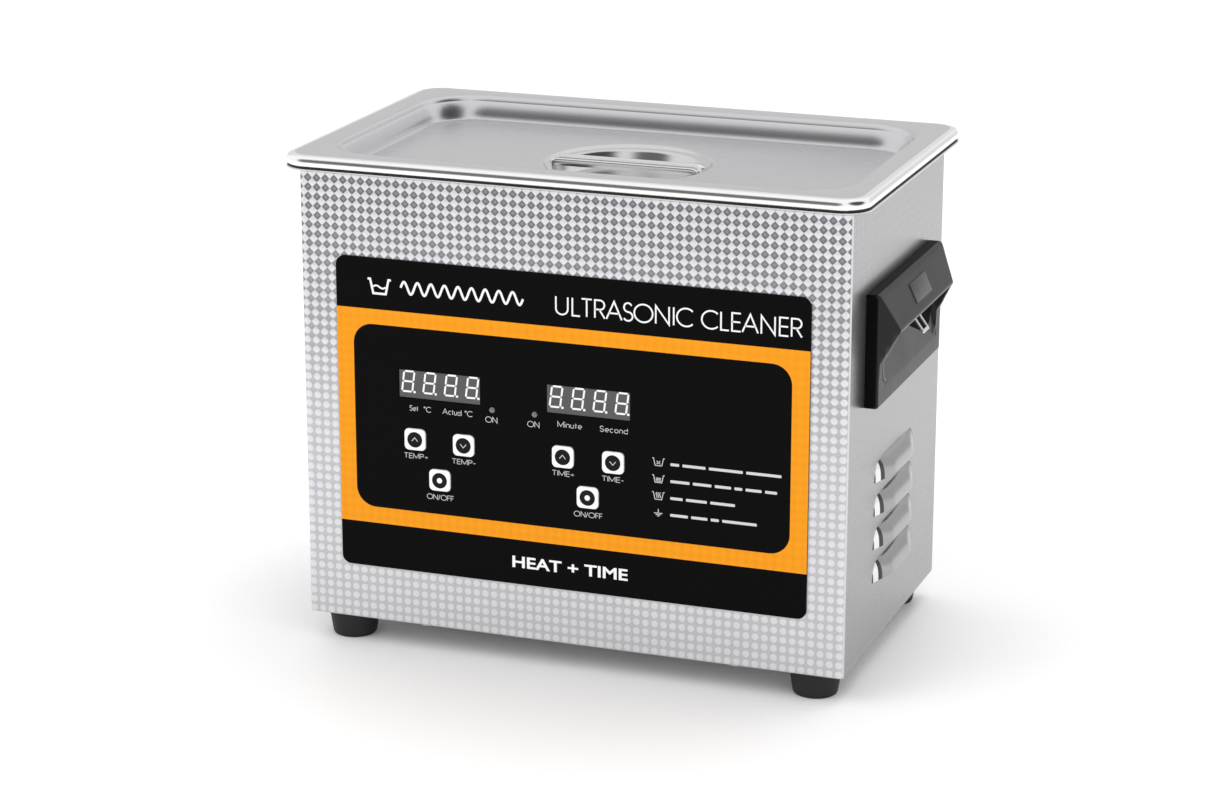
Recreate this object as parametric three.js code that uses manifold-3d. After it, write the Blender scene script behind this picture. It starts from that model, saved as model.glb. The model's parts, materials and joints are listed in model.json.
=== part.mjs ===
// Bench ultrasonic cleaner: folded steel housing, drawn tank, lift-off lid, basket, label with keys,
// transducers, generator, fan and mains entry. Millimetres, +X right, +Y back, +Z up, floor at z = 0.
import * as THREE from "three";
import { ConvexGeometry } from "three/addons/geometries/ConvexGeometry.js";
import { mergeVertices } from "three/addons/utils/BufferGeometryUtils.js";
import Module from "manifold-3d";

const wasm = await Module();
wasm.setup();

// ---------------------------------------------------------------- driving dimensions
const BODY = { halfX: 125, halfY: 75, fold: 2.5, sheet: 1, bottom: 12, top: 217 };
const FLANGE = { halfX: 132, halfY: 82, radius: 12, z: 217, sheet: 1 };
const TANK = { halfX: 120.5, halfY: 69, radius: 22, floor: 117, sheet: 1, draftX: 2.2, draftY: 2.7 };
const SEAL = { bottom: 218, top: 218.7, outer: [131.6, 81.6, 11.7], inner: [127.5, 77.5, 8] };
const LID = { halfX: 132, halfY: 82.5, radius: 12.5, top: 223.5, skirt: 218.8, sheet: 0.8, trayZ: 213 };
const DISH = { outer: 38.5, ledge: 211.6, bowl: 33, floor: 204.2 };
const BASKET = { halfX: 112, halfY: 60, radius: 16, bottom: 124, top: 190, sheet: 1.2 };
const LABEL = { halfX: 108.2, bottom: 37.4, top: 179.4, radius: 4, thick: 0.5 };
const DISPLAY = { width: 38, height: 12.4, z: 124, temperatureX: -60, timerX: 9.2 };
const KEY = { width: 10, height: 9.8, radius: 2, gap: 0.35, proud: 0.5, depth: 2.6 };
const KEYS = {
  key_temp_up: [-71.9, 98.8],
  key_temp_down: [-48.9, 98.5],
  key_heat_power: [-60.4, 81.2],
  key_time_up: [-2.5, 98.3],
  key_time_down: [20.6, 98.2],
  key_sonic_power: [8.9, 81.1],
};
const LAMPS = { heat_lamp: [-35.4, 116], sonic_lamp: [-15.6, 116] };
const LOUVRE = { tops: [95.8, 80.5, 65.2, 49.9], drop: 8.6, topHalf: 22, bottomHalf: 31, out: 4.8 };
const HANDLE = { halfY: 51.5, bottom: 126.5, top: 176.5, base: 6, hood: 13.4 };
const FOOT = { x: 109, y: 62, top: 11.6, bottom: 9.8, height: 12 };
const BOARD_Y = { front: -71.4, back: -70.2 };
const TRANSDUCER_X = 60;
const FAN = { x: 72, z: 66, side: 60, back: 73, front: 53, bore: 28, rotor: 26.6 };
const INLET = { x: -70, z: 48 };
const SWITCH = { x: -70, z: 92, pivotY: 73.6, tilt: 12 };

// ---------------------------------------------------------------- finishes
const finish = (color, roughness, metalness) =>
  new THREE.MeshStandardMaterial({ color, roughness, metalness });
const FINISH = {
  steel: finish(0xb4b6b8, 0.38, 1),
  satin: finish(0xd0d0d4, 0.3, 1),
  polished: finish(0xe4e4e6, 0.12, 1),
  galvanised: finish(0x9aa0a4, 0.45, 1),
  aluminium: finish(0xc8cacc, 0.4, 1),
  brass: finish(0xc9a24a, 0.3, 1),
  label: finish(0x161718, 0.45, 0),
  key: finish(0xf0f0f0, 0.4, 0),
  displayGrey: finish(0x55585a, 0.25, 0),
  lamp: finish(0x8d9093, 0.2, 0),
  plastic: finish(0x303234, 0.4, 0),
  rubber: finish(0x121314, 0.8, 0),
  ceramic: finish(0xe8e2d4, 0.5, 0),
  board: finish(0x1f6b3a, 0.5, 0),
  silicone: finish(0xc6622c, 0.6, 0),
  glass: finish(0xdfe8ec, 0.05, 0),
  copper: finish(0xb86b3a, 0.4, 0.6),
};

// ---------------------------------------------------------------- solids
// A closed three.js geometry as a manifold solid, turned outwards if it was built inside out.
function solid(geometry) {
  const flat = geometry.index ? geometry.toNonIndexed() : geometry;
  const bare = new THREE.BufferGeometry().setAttribute("position", flat.getAttribute("position"));
  const merged = mergeVertices(bare, 1e-4);
  const index = merged.index.array;
  const triangles = [];
  for (let i = 0; i < index.length; i += 3) {
    const [a, b, c] = [index[i], index[i + 1], index[i + 2]];
    if (a !== b && b !== c && c !== a) triangles.push(a, b, c);
  }
  const vertProperties = merged.attributes.position.array;
  const build = (list) =>
    new wasm.Manifold(new wasm.Mesh({ numProp: 3, vertProperties, triVerts: new Uint32Array(list) }));
  const made = build(triangles);
  if (made.volume() >= 0) return made;
  for (let i = 0; i < triangles.length; i += 3) {
    [triangles[i + 1], triangles[i + 2]] = [triangles[i + 2], triangles[i + 1]];
  }
  return build(triangles);
}

// A manifold solid as a three.js geometry with flat normals.
function geometryOf(made) {
  const mesh = made.getMesh();
  const position = new Float32Array(mesh.numVert * 3);
  for (let i = 0; i < mesh.numVert; i++) {
    position.set(mesh.vertProperties.subarray(i * mesh.numProp, i * mesh.numProp + 3), i * 3);
  }
  const indexed = new THREE.BufferGeometry()
    .setAttribute("position", new THREE.BufferAttribute(position, 3))
    .setIndex(new THREE.BufferAttribute(mesh.triVerts.slice(), 1));
  const flat = indexed.toNonIndexed();
  flat.computeVertexNormals();
  return flat;
}

const join = (...parts) => parts.flat().reduce((all, part) => all.add(part));
const cut = (from, ...tools) => tools.flat().reduce((left, tool) => left.subtract(tool), from);

// A box given by its limits.
function block(x0, x1, y0, y1, z0, z1) {
  const box = new THREE.BoxGeometry(x1 - x0, y1 - y0, z1 - z0);
  return solid(box.translate((x0 + x1) / 2, (y0 + y1) / 2, (z0 + z1) / 2));
}

// A solid of revolution about a vertical axis through (x, y); profile is [radius, z] pairs.
function turned(profile, x = 0, y = 0, segments = 24) {
  const closed = profile.every(([r]) => r > 0) ? [...profile, profile[0]] : profile;
  const lathe = new THREE.LatheGeometry(closed.map(([r, z]) => new THREE.Vector2(r, z)), segments);
  return solid(lathe.rotateX(Math.PI / 2).translate(x, y, 0));
}

// The same about an axis along Y through (x, z); profile is [radius, y] pairs.
function turnedY(profile, x = 0, z = 0, segments = 24) {
  const closed = profile.every(([r]) => r > 0) ? [...profile, profile[0]] : profile;
  const lathe = new THREE.LatheGeometry(closed.map(([r, y]) => new THREE.Vector2(r, y)), segments);
  return solid(lathe.translate(x, 0, z));
}

const rod = (radius, z0, z1, x, y, segments = 24) =>
  turned([[0, z0], [radius, z0], [radius, z1], [0, z1]], x, y, segments);
const rodY = (radius, y0, y1, x, z, segments = 24) =>
  turnedY([[0, y0], [radius, y0], [radius, y1], [0, y1]], x, z, segments);

// A rounded rectangle outline centred on (cx, cy).
function roundedRect(halfX, halfY, radius, cx = 0, cy = 0, segments = 6) {
  const points = [];
  const corners = [[1, 1, 0], [-1, 1, 1], [-1, -1, 2], [1, -1, 3]];
  for (const [sx, sy, quarter] of corners) {
    for (let i = 0; i <= segments; i++) {
      const angle = ((quarter + i / segments) * Math.PI) / 2;
      points.push([
        cx + sx * (halfX - radius) + radius * Math.cos(angle),
        cy + sy * (halfY - radius) + radius * Math.sin(angle),
      ]);
    }
  }
  return points;
}

const outline = (points) => new THREE.Shape(points.map(([x, y]) => new THREE.Vector2(x, y)));

// A plan outline raised from z0 to z1.
function raised(points, z0, z1) {
  const shape = new THREE.ExtrudeGeometry(outline(points), { depth: z1 - z0, bevelEnabled: false });
  return solid(shape.translate(0, 0, z0));
}

// An outline in the XZ plane pushed from y0 to y1.
function pushedY(points, y0, y1) {
  const shape = new THREE.ExtrudeGeometry(outline(points), { depth: y1 - y0, bevelEnabled: false });
  return solid(shape.rotateX(Math.PI / 2).translate(0, y1, 0));
}

// An outline in the YZ plane pushed from x0 to x1.
function pushedX(points, x0, x1) {
  const shape = new THREE.ExtrudeGeometry(outline(points), { depth: x1 - x0, bevelEnabled: false });
  const turn = new THREE.Matrix4().set(0, 0, 1, x0, 1, 0, 0, 0, 0, 1, 0, 0, 0, 0, 0, 1);
  return solid(shape.applyMatrix4(turn));
}

// A closed surface through rings of equally many [x, y, z] points, capped with a fan at both ends.
function skin(rings) {
  const count = rings[0].length;
  const position = [];
  const face = (...points) => points.forEach((point) => position.push(...point));
  rings.slice(1).forEach((ring, k) => {
    const below = rings[k];
    for (let i = 0; i < count; i++) {
      const j = (i + 1) % count;
      face(below[i], below[j], ring[j]);
      face(below[i], ring[j], ring[i]);
    }
  });
  const centre = (ring) => [0, 1, 2].map((a) => ring.reduce((sum, p) => sum + p[a], 0) / count);
  const [first, last] = [rings[0], rings[rings.length - 1]];
  const [c0, c1] = [centre(first), centre(last)];
  for (let i = 0; i < count; i++) {
    const j = (i + 1) % count;
    face(c0, first[j], first[i]);
    face(c1, last[i], last[j]);
  }
  const surface = new THREE.BufferGeometry();
  surface.setAttribute("position", new THREE.BufferAttribute(new Float32Array(position), 3));
  return solid(surface);
}

// A pressed pan: rounded-rectangle rings [halfX, halfY, radius, z] followed from one side to the other.
const pressed = (profile, segments = 5) =>
  skin(profile.map(([hx, hy, r, z]) => roundedRect(hx, hy, r, 0, 0, segments).map(([x, y]) => [x, y, z])));

// A tube of the given radius along a smooth path of points.
function tube(points, radius, steps = 24, sides = 8) {
  const path = new THREE.CatmullRomCurve3(points.map((p) => new THREE.Vector3(...p)));
  const section = [];
  for (let i = 0; i < sides; i++) {
    const angle = (2 * Math.PI * i) / sides;
    section.push([radius * Math.cos(angle), radius * Math.sin(angle)]);
  }
  const options = { steps, bevelEnabled: false, extrudePath: path };
  return solid(new THREE.ExtrudeGeometry(outline(section), options));
}

// The convex body round a list of points.
const wrapped = (points) => solid(new ConvexGeometry(points.map((p) => new THREE.Vector3(...p))));
const mirrorX = (made) => made.mirror([1, 0, 0]);

const group = new THREE.Group();
group.name = "ultrasonic_cleaner";

function add(name, made, material) {
  const mesh = new THREE.Mesh(geometryOf(made), material);
  mesh.name = name;
  group.add(mesh);
}

// ---------------------------------------------------------------- housing
// One pressed louvre on the right side: hood wall and the slot it leaves open below.
function louvre(top) {
  const shell = (inset, x0) => {
    const points = [];
    const bottom = top - LOUVRE.drop;
    const stations = [
      [0, top - inset * 1.4, LOUVRE.topHalf - inset],
      [2.4, top - 1.1 - inset, LOUVRE.topHalf - 0.6 - inset],
      [LOUVRE.out - 0.9 - inset, top - 3.6 - inset, LOUVRE.topHalf + 1 - inset],
      [LOUVRE.out - inset, bottom + 1.6, LOUVRE.topHalf + 2.4 - inset],
      [LOUVRE.out - 0.3 - inset, bottom, LOUVRE.topHalf + 2.8 - inset],
      [2.2, bottom, LOUVRE.bottomHalf - 2.6 - inset],
      [0, bottom, LOUVRE.bottomHalf - inset],
      [0, bottom + 3, LOUVRE.bottomHalf - 2 - inset],
    ];
    for (const [out, z, half] of stations) {
      const x = BODY.halfX + Math.max(out, 0) + (out === 0 ? x0 : 0);
      points.push([x, -half, z], [x, half, z]);
    }
    return wrapped(points);
  };
  const slot = block(
    BODY.halfX - 2, BODY.halfX + LOUVRE.out - 1, -LOUVRE.topHalf, LOUVRE.topHalf,
    top - LOUVRE.drop - 1, top - LOUVRE.drop + 2,
  );
  return { hood: shell(0, -BODY.sheet), hollow: join(shell(0.9, -BODY.sheet - 0.5), slot) };
}

// Two screw holes through the label side of the housing for each window, key and lamp.
const keyHole = (x, z, extra, y0, y1) =>
  pushedY(
    roundedRect(KEY.width / 2 + extra, KEY.height / 2 + extra, KEY.radius + extra, x, z, 3), y0, y1,
  );
const windowHole = (x, extra, y0, y1) => {
  const [w, h] = [DISPLAY.width / 2 + extra, DISPLAY.height / 2 + extra];
  return block(x - w, x + w, y0, y1, DISPLAY.z - h, DISPLAY.z + h);
};
const frontHoles = (extra, y0, y1) => [
  ...Object.values(KEYS).map(([x, z]) => keyHole(x, z, KEY.gap + extra, y0, y1)),
  windowHole(DISPLAY.temperatureX, 0.3 + extra, y0, y1),
  windowHole(DISPLAY.timerX, 0.3 + extra, y0, y1),
  ...Object.values(LAMPS).map(([x, z]) => rodY(1.7 + extra, y0, y1, x, z, 12)),
];

function buildHousing() {
  const { halfX, halfY, fold, sheet, bottom, top } = BODY;
  const outside = raised(roundedRect(halfX, halfY, fold, 0, 0, 3), bottom, top);
  const inside = raised(
    roundedRect(halfX - sheet, halfY - sheet, fold - sheet, 0, 0, 3), bottom - 1, top + 1,
  );
  const lipBand = raised(roundedRect(halfX - 0.5, halfY - 0.5, fold - 0.5, 0, 0, 3), 13.2, 14.2);
  const lipHole = raised(roundedRect(halfX - 7, halfY - 7, 2, 0, 0, 3), 13, 14.4);
  const rearOpening = block(-halfX + 13, halfX - 13, halfY - 1.5, halfY + 1, 14.2, top + 1);
  let shell = join(cut(outside, inside), cut(lipBand, lipHole));
  shell = cut(shell, rearOpening, block(-halfX + 13, halfX - 13, halfY - 8, halfY + 1, 11, 14.3));
  for (const top of LOUVRE.tops) {
    const { hood, hollow } = louvre(top);
    shell = cut(join(shell, hood, mirrorX(hood)), hollow, mirrorX(hollow));
  }
  add("housing_shell", cut(shell, frontHoles(0.4, -halfY - 1, -halfY + 2)), FINISH.steel);
}

function buildRearPanel() {
  const [y0, y1] = [73, 74];
  const panel = block(-121.8, 121.8, y0, y1, 14.5, 216.6);
  const fanHole = rodY(FAN.bore - 0.5, y0 - 1, y1 + 1, FAN.x, FAN.z, 32);
  const vents = [];
  for (let row = 0; row < 6; row++) {
    const z = 150 + row * 8;
    vents.push(block(-40, 40, y0 - 1, y1 + 1, z, z + 3));
  }
  const inletHole = block(INLET.x - 14.2, INLET.x + 14.2, y0 - 1, y1 + 1, INLET.z - 15.7, INLET.z + 17.2);
  const switchHole = block(SWITCH.x - 8.7, SWITCH.x + 8.7, y0 - 1, y1 + 1, SWITCH.z - 12.2, SWITCH.z + 12.2);
  const earthHole = rodY(2.3, y0 - 1, y1 + 1, -28, INLET.z, 12);
  add("rear_panel", cut(panel, fanHole, vents, inletHole, switchHole, earthHole), FINISH.steel);
}

const BOSSES = [[-50, -30], [-50, 30], [40, -30], [40, 30]];

function buildBase() {
  const plate = raised(roundedRect(123.6, 73.4, 1.2, 0, 0.2, 3), BODY.bottom, 13.2);
  const bosses = BOSSES.map(([x, y]) => rod(3, 13.1, 20, x, y, 12));
  const slots = [];
  for (let i = 0; i < 7; i++) slots.push(block(62 + i * 6, 65 + i * 6, -28, 28, 11, 14));
  const holes = [];
  for (const sx of [-1, 1]) {
    for (const sy of [-1, 1]) holes.push(rod(2.3, 11, 14, sx * FOOT.x, sy * FOOT.y, 12));
  }
  add("base_plate", cut(join(plate, bosses), slots, holes), FINISH.galvanised);
}

function buildFeet() {
  const { top, bottom, height } = FOOT;
  const profile = [
    [2.3, 5], [4.6, 5], [4.6, 0], [bottom - 0.8, 0], [bottom, 0.8], [top, height - 1], [top, height], [2.3, height],
  ];
  const screw = [
    [0, 2.4], [2.8, 2.4], [3.8, 3.2], [3.8, 5], [1.95, 5], [1.95, 17.5], [1.4, 18.2], [0, 18.2],
  ];
  for (const [side, sx] of [["left", -1], ["right", 1]]) {
    for (const [end, sy] of [["front", -1], ["rear", 1]]) {
      const [x, y] = [sx * FOOT.x, sy * FOOT.y];
      add(`foot_${end}_${side}`, turned(profile, x, y, 20), FINISH.rubber);
      add(`foot_screw_${end}_${side}`, turned(screw, x, y, 12), FINISH.galvanised);
    }
  }
}

// ---------------------------------------------------------------- tank, lid and basket
function buildTank() {
  const { halfX, halfY, radius, floor, sheet, draftX, draftY } = TANK;
  const { z } = FLANGE;
  const [bx, by] = [halfX - draftX, halfY - draftY];
  const inner = [
    [bx - 9, by - 9, radius - 10, floor],
    [bx - 3.2, by - 3.2, radius - 5, floor + 1.9],
    [bx, by, radius - 2, floor + 8],
    [halfX, halfY, radius, z - 1.5],
    [halfX + 0.6, halfY + 0.6, radius + 0.6, z + 0.5],
    [halfX + 2.2, halfY + 2.2, radius + 2, z + sheet],
  ];
  const rim = [
    [FLANGE.halfX, FLANGE.halfY, FLANGE.radius, z + sheet],
    [FLANGE.halfX, FLANGE.halfY, FLANGE.radius, z],
  ];
  const outer = [
    [halfX + 2.6, halfY + 2.6, radius + 2.4, z],
    [halfX + sheet, halfY + sheet, radius + sheet, z - 1.8],
    [bx + sheet, by + sheet, radius - 1, floor + 8],
    [bx - 2.5, by - 2.5, radius - 4.4, floor + 1],
    [bx - 9, by - 9, radius - 10, floor - sheet],
  ];
  add("tank", pressed([...inner, ...rim, ...outer], 4), FINISH.satin);
  const ring = raised(roundedRect(...SEAL.outer), SEAL.bottom, SEAL.top);
  const hole = raised(roundedRect(...SEAL.inner), SEAL.bottom - 1, SEAL.top + 1);
  add("tank_seal", cut(ring, hole), FINISH.rubber);
}

function buildLid() {
  const { halfX, halfY, radius, top, skirt, sheet, trayZ } = LID;
  const above = [
    [111.4, 61, 18, trayZ],
    [113.8, 63.4, 20.4, trayZ + 1],
    [117.9, 67.5, 24, top - 1.4],
    [119.6, 69.2, 25.7, top],
    [halfX - 2.6, halfY - 2.6, radius - 2.6, top],
    [halfX - 0.7, halfY - 0.7, radius - 0.7, top - 0.8],
    [halfX, halfY, radius, top - 2.4],
    [halfX - 0.3, halfY - 0.3, radius - 0.3, skirt + 0.5],
  ];
  const below = [
    [halfX - 0.7, halfY - 0.7, radius - 0.7, skirt],
    [halfX - 1.3, halfY - 1.3, radius - 1.3, skirt + 0.5],
    [halfX - 0.8, halfY - 0.8, radius - 0.8, top - 2.4],
    [halfX - 1.3, halfY - 1.3, radius - 1.3, top - 1.3],
    [halfX - 2.8, halfY - 2.8, radius - 2.8, top - sheet],
    [120, 69.6, 26.1, top - sheet],
    [118.6, 68.2, 24.7, top - 1.8],
    [114.6, 64.2, 21, trayZ + 0.6],
    [111.8, 61.4, 18.3, trayZ - sheet],
  ];
  const pan = pressed([...above, ...below], 4);
  const { outer, ledge, bowl, floor } = DISH;
  const dish = turned([
    [0, floor], [bowl - 4, floor], [bowl - 1.8, floor + 1.2], [bowl - 0.3, ledge - 1],
    [bowl + 0.8, ledge], [outer - 2.2, ledge], [outer - 0.6, trayZ], [outer, trayZ],
    [outer, trayZ - sheet], [outer - 0.5, trayZ - sheet], [outer - 1.8, ledge - sheet],
    [bowl + 1.6, ledge - sheet], [bowl + 0.6, ledge - 1.3], [bowl - 1, floor + 0.6],
    [bowl - 3.6, floor - sheet], [0, floor - sheet],
  ], 0, 0, 32);
  const hole = rod(outer - 0.3, trayZ - 3, trayZ + 3, 0, 0, 32);
  add("lid_pan", join(cut(pan, hole), dish), FINISH.satin);

  // The bar lies on the dish's ledge at both ends and is raised between them.
  const [z0, z1, t] = [ledge, trayZ - 0.6, 1.1];
  const strip = [
    [-35.4, z0], [-33.9, z0], [-32, z1 - 0.2], [-29, z1], [29, z1], [32, z1 - 0.2], [33.9, z0], [35.4, z0],
    [35.4, z0 + t], [33.2, z0 + t], [31.6, z1 - 0.2 + t], [29, z1 + t], [-29, z1 + t],
    [-31.6, z1 - 0.2 + t], [-33.2, z0 + t], [-35.4, z0 + t],
  ];
  const lips = [-1, 1].map((s) => block(-29, 29, s > 0 ? 4.5 : -5.5, s > 0 ? 5.5 : -4.5, z1 - 2, z1 + 0.5));
  add("lid_handle_bar", join(pushedY(strip, -5.5, 5.5), lips), FINISH.polished);
}

function buildBasket() {
  const { halfX, halfY, radius, bottom, top, sheet } = BASKET;
  const shellRings = [
    [halfX - 7, halfY - 7, radius - 7, bottom + sheet],
    [halfX - sheet, halfY - sheet, radius - 2, bottom + 6],
    [halfX - sheet, halfY - sheet, radius - sheet, top],
    [halfX + 1.6, halfY + 1.6, radius + 1.6, top],
    [halfX + 1.6, halfY + 1.6, radius + 1.6, top - sheet],
    [halfX, halfY, radius, top - sheet],
    [halfX, halfY, radius - 1, bottom + 5.6],
    [halfX - 6.4, halfY - 6.4, radius - 6.6, bottom],
  ];
  const slots = [];
  for (let i = 0; i < 9; i++) {
    const x = -84 + i * 21;
    slots.push(block(x - 7, x + 7, -halfY - 5, halfY + 5, 138, 174));
  }
  for (let i = 0; i < 4; i++) {
    const y = -31.5 + i * 21;
    slots.push(block(-halfX - 5, halfX + 5, y - 7, y + 7, 138, 174));
  }
  for (let i = 0; i < 7; i++) {
    const x = -78 + i * 26;
    for (const y of [-32, 0, 32]) slots.push(block(x - 9, x + 9, y - 10, y + 10, bottom - 2, bottom + 4));
  }
  const runners = [-88, 88].map((x) => block(x - 3, x + 3, -46, 46, TANK.floor + 0.1, bottom + 0.6));
  add("basket_body", join(cut(pressed(shellRings, 4), slots), runners), FINISH.satin);
  for (const [side, s] of [["left", -1], ["right", 1]]) {
    const x = s * (halfX - sheet - 1.6);
    const path = [[x, -24, 176], [x, -24, 188], [x, -22, 198], [x, -15, 202], [x, 15, 202], [x, 22, 198], [x, 24, 188], [x, 24, 176]];
    add(`basket_handle_${side}`, tube(path, 1.5, 18, 6), FINISH.polished);
  }
}

// ---------------------------------------------------------------- label, keys and displays
function buildFront() {
  const face = -BODY.halfY;
  const zMid = (LABEL.bottom + LABEL.top) / 2;
  const sheet = pushedY(
    roundedRect(LABEL.halfX, (LABEL.top - LABEL.bottom) / 2, LABEL.radius, 0, zMid, 5),
    face - LABEL.thick, face,
  );
  add("overlay_panel", cut(sheet, frontHoles(0, face - 2, face + 1)), FINISH.label);

  const front = face - LABEL.thick - KEY.proud;
  for (const [name, [x, z]] of Object.entries(KEYS)) {
    const cap = keyHole(x, z, 0, front, front + KEY.depth);
    add(name, join(cap, rodY(1.6, front + KEY.depth - 0.2, front + KEY.depth + 0.3, x, z, 10)), FINISH.key);
  }

  const board = block(-84, 34, BOARD_Y.front, BOARD_Y.back, 70, 138);
  const switches = Object.values(KEYS).map(([x, z]) =>
    join(
      block(x - 3, x + 3, -72.2, BOARD_Y.front + 0.1, z - 3, z + 3),
      rodY(1.5, -72.6, -72.1, x, z, 10),
    ),
  );
  add("display_board", join(board, switches), FINISH.board);
  for (const [name, x] of [["temperature_display", DISPLAY.temperatureX], ["timer_display", DISPLAY.timerX]]) {
    add(name, windowHole(x, 0, face - 0.3, BOARD_Y.front), FINISH.displayGrey);
  }
  for (const [name, [x, z]] of Object.entries(LAMPS)) {
    const dome = [[0, face - 1.2], [0.9, face - 0.95], [1.4, face - 0.3], [1.4, BOARD_Y.front], [0, BOARD_Y.front]];
    add(name, turnedY(dome, x, z, 14), FINISH.lamp);
  }
}

// ---------------------------------------------------------------- side handles
// Sections of the right-hand handle in the XZ plane; open is 0 on the solid ends and 1 at the pocket.
function handleSection(y, open) {
  const x0 = BODY.halfX;
  const { bottom, top, base, hood } = HANDLE;
  const mix = (a, b, t = open) => a + (b - a) * t;
  const section = [
    [0, bottom], [0, top],
    [base - 1.2, top], [base, top - 0.9],
    [mix(base, 8.9), mix(top - 6, 171.5)],
    [mix(base, 11.7), mix(top - 12, 165)],
    [mix(base, hood), mix(top - 18, 158.6)],
    [mix(base, hood - 0.5), mix(top - 19.4, 156.9)],
    [mix(base, 10.6), mix(top - 21, 156.6)],
    [mix(base, 3.4), mix(154, 157.4)],
    [mix(base, 1.8), mix(150, 153)],
    [mix(base, 2.2), mix(144, 143)],
    [mix(base, 6.6), mix(136, 137)],
    [mix(base, 7.6), mix(134, 135)],
    [mix(base, 7.6), mix(131, 132.4)],
    [base, bottom + 0.9], [base - 1.2, bottom],
  ];
  return section.map(([out, z]) => [x0 + out, y, z]);
}

function buildHandles() {
  const half = [
    [51.5, 0], [49.5, 0], [47.5, 0.12], [45, 0.34], [42.5, 0.62], [40.5, 0.84], [38.4, 0.96], [36.5, 1], [12, 1],
  ];
  const stations = [...half.map(([y, open]) => [-y, open]), ...half.reverse()];
  const body = skin(stations.map(([y, open]) => handleSection(y, open)));
  const face = new THREE.BoxGeometry(1.2, 27, 8.6)
    .rotateY(-Math.atan2(2.9, 6.6))
    .translate(BODY.halfX + 10.75, 0, 167.2);
  const moulding = cut(body, solid(face.translate(0.15, 0, 0)));

  // The sprung clip: two prongs leaning outwards, joined by a foot that lies in the pocket's floor.
  const lean = [[129.3, 156.6], [130.4, 156.9], [133.4, 141.2], [132.2, 140.9]];
  const prongs = [-6, 2].map((y) => pushedY(lean, y, y + 3));
  const foot = block(131.4, 133.1, -6, 5, 140.6, 141.8);
  const clip = join(prongs, foot);
  for (const [side, place] of [["left", mirrorX], ["right", (made) => made]]) {
    add(`handle_${side}`, place(cut(moulding, block(128.6, 134, -6.5, 5.5, 139.8, 157.6))), FINISH.plastic);
    add(`handle_clip_${side}`, place(clip), FINISH.polished);
  }
}

// ---------------------------------------------------------------- under the tank
function buildTransducers() {
  const floor = TANK.floor - TANK.sheet;
  for (const [side, s] of [["left", -1], ["right", 1]]) {
    const x = s * TRANSDUCER_X;
    const bore = 5.4;
    const front = [[0, floor], [22.5, floor], [22.5, floor - 6], [19, floor - 18], [bore, floor - 18], [bore, floor - 6], [0, floor - 6]];
    const ring = (r, z0, z1) => [[bore, z0], [r, z0], [r, z1], [bore, z1]];
    const bolt = [[0, floor - 6.5], [5, floor - 6.5], [5, floor - 46], [8, floor - 46], [8, floor - 53], [0, floor - 53]];
    add(`transducer_front_mass_${side}`, turned(front, x, 0, 20), FINISH.aluminium);
    add(`transducer_piezo_${side}`, turned(ring(19, floor - 28, floor - 18), x, 0, 20), FINISH.ceramic);
    add(`transducer_back_mass_${side}`, turned(ring(19, floor - 46, floor - 28), x, 0, 20), FINISH.galvanised);
    add(`transducer_bolt_${side}`, turned(bolt, x, 0, 12), FINISH.galvanised);
  }
}

function buildElectronics() {
  const slope = TANK.draftY / (FLANGE.z - 9.8 - TANK.floor);
  const tankBack = (z) => TANK.halfY - TANK.draftY + TANK.sheet + 0.05 + (z - TANK.floor - 8) * slope;
  const pad = [[tankBack(140), 140], [tankBack(140) + 1.6, 140], [tankBack(195) + 1.6, 195], [tankBack(195), 195]];
  add("heater_pad", pushedX(pad, -85, 85), FINISH.silicone);
  add("temperature_sensor", turned([[0, 116], [4.5, 116], [4.5, 111], [2.2, 110], [2.2, 103], [0, 103]], 0, 30, 16), FINISH.copper);

  const top = 21.6;
  const holes = BOSSES.map(([x, y]) => rod(1.5, 19, 23, x, y, 10));
  add("generator_board", cut(block(-56, 46, -38, 38, 20, top), holes), FINISH.board);
  const fins = [];
  for (let i = 0; i < 6; i++) fins.push(block(-46 + i * 5, -44.2 + i * 5, -14, 24, top + 3.9, top + 24));
  add("heat_sink", join(block(-46, -19.2, -14, 24, top, top + 4), fins), FINISH.aluminium);
  const core = [block(-8, 20, -2, 24, top, top + 6), block(-8, 20, -2, 24, top + 18, top + 24)];
  const coil = rod(10.5, top + 5.9, top + 18.1, 6, 11, 24);
  const legs = [block(-8, -5, -2, 24, top + 5, top + 19), block(17, 20, -2, 24, top + 5, top + 19)];
  add("output_transformer", join(core, coil, legs), FINISH.copper);
  add("filter_capacitor", rod(9, top, top + 30, 32, -16, 24), FINISH.plastic);
  add("relay", block(-4, 15, -30, -14, top, top + 16), FINISH.displayGrey);

  // A flat ribbon from the display board's lower edge down to the generator board.
  const run = [[-40, -70], [-38.8, -70]];
  const path = [[-69.7, 84], [-69.7, 60], [-66, 40], [-56, 30], [-42, 25], [-36, 24.4], [-32, 21.6]];
  const ribbon = [...path, ...path.map(([y, z]) => [y + 0.7, z + 0.6]).reverse()];
  ribbon[path.length - 1] = [-32, top];
  ribbon[path.length] = [-31.2, top];
  add("ribbon_cable", pushedX(ribbon, run[0][0], run[0][0] + 16), FINISH.displayGrey);
}

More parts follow.
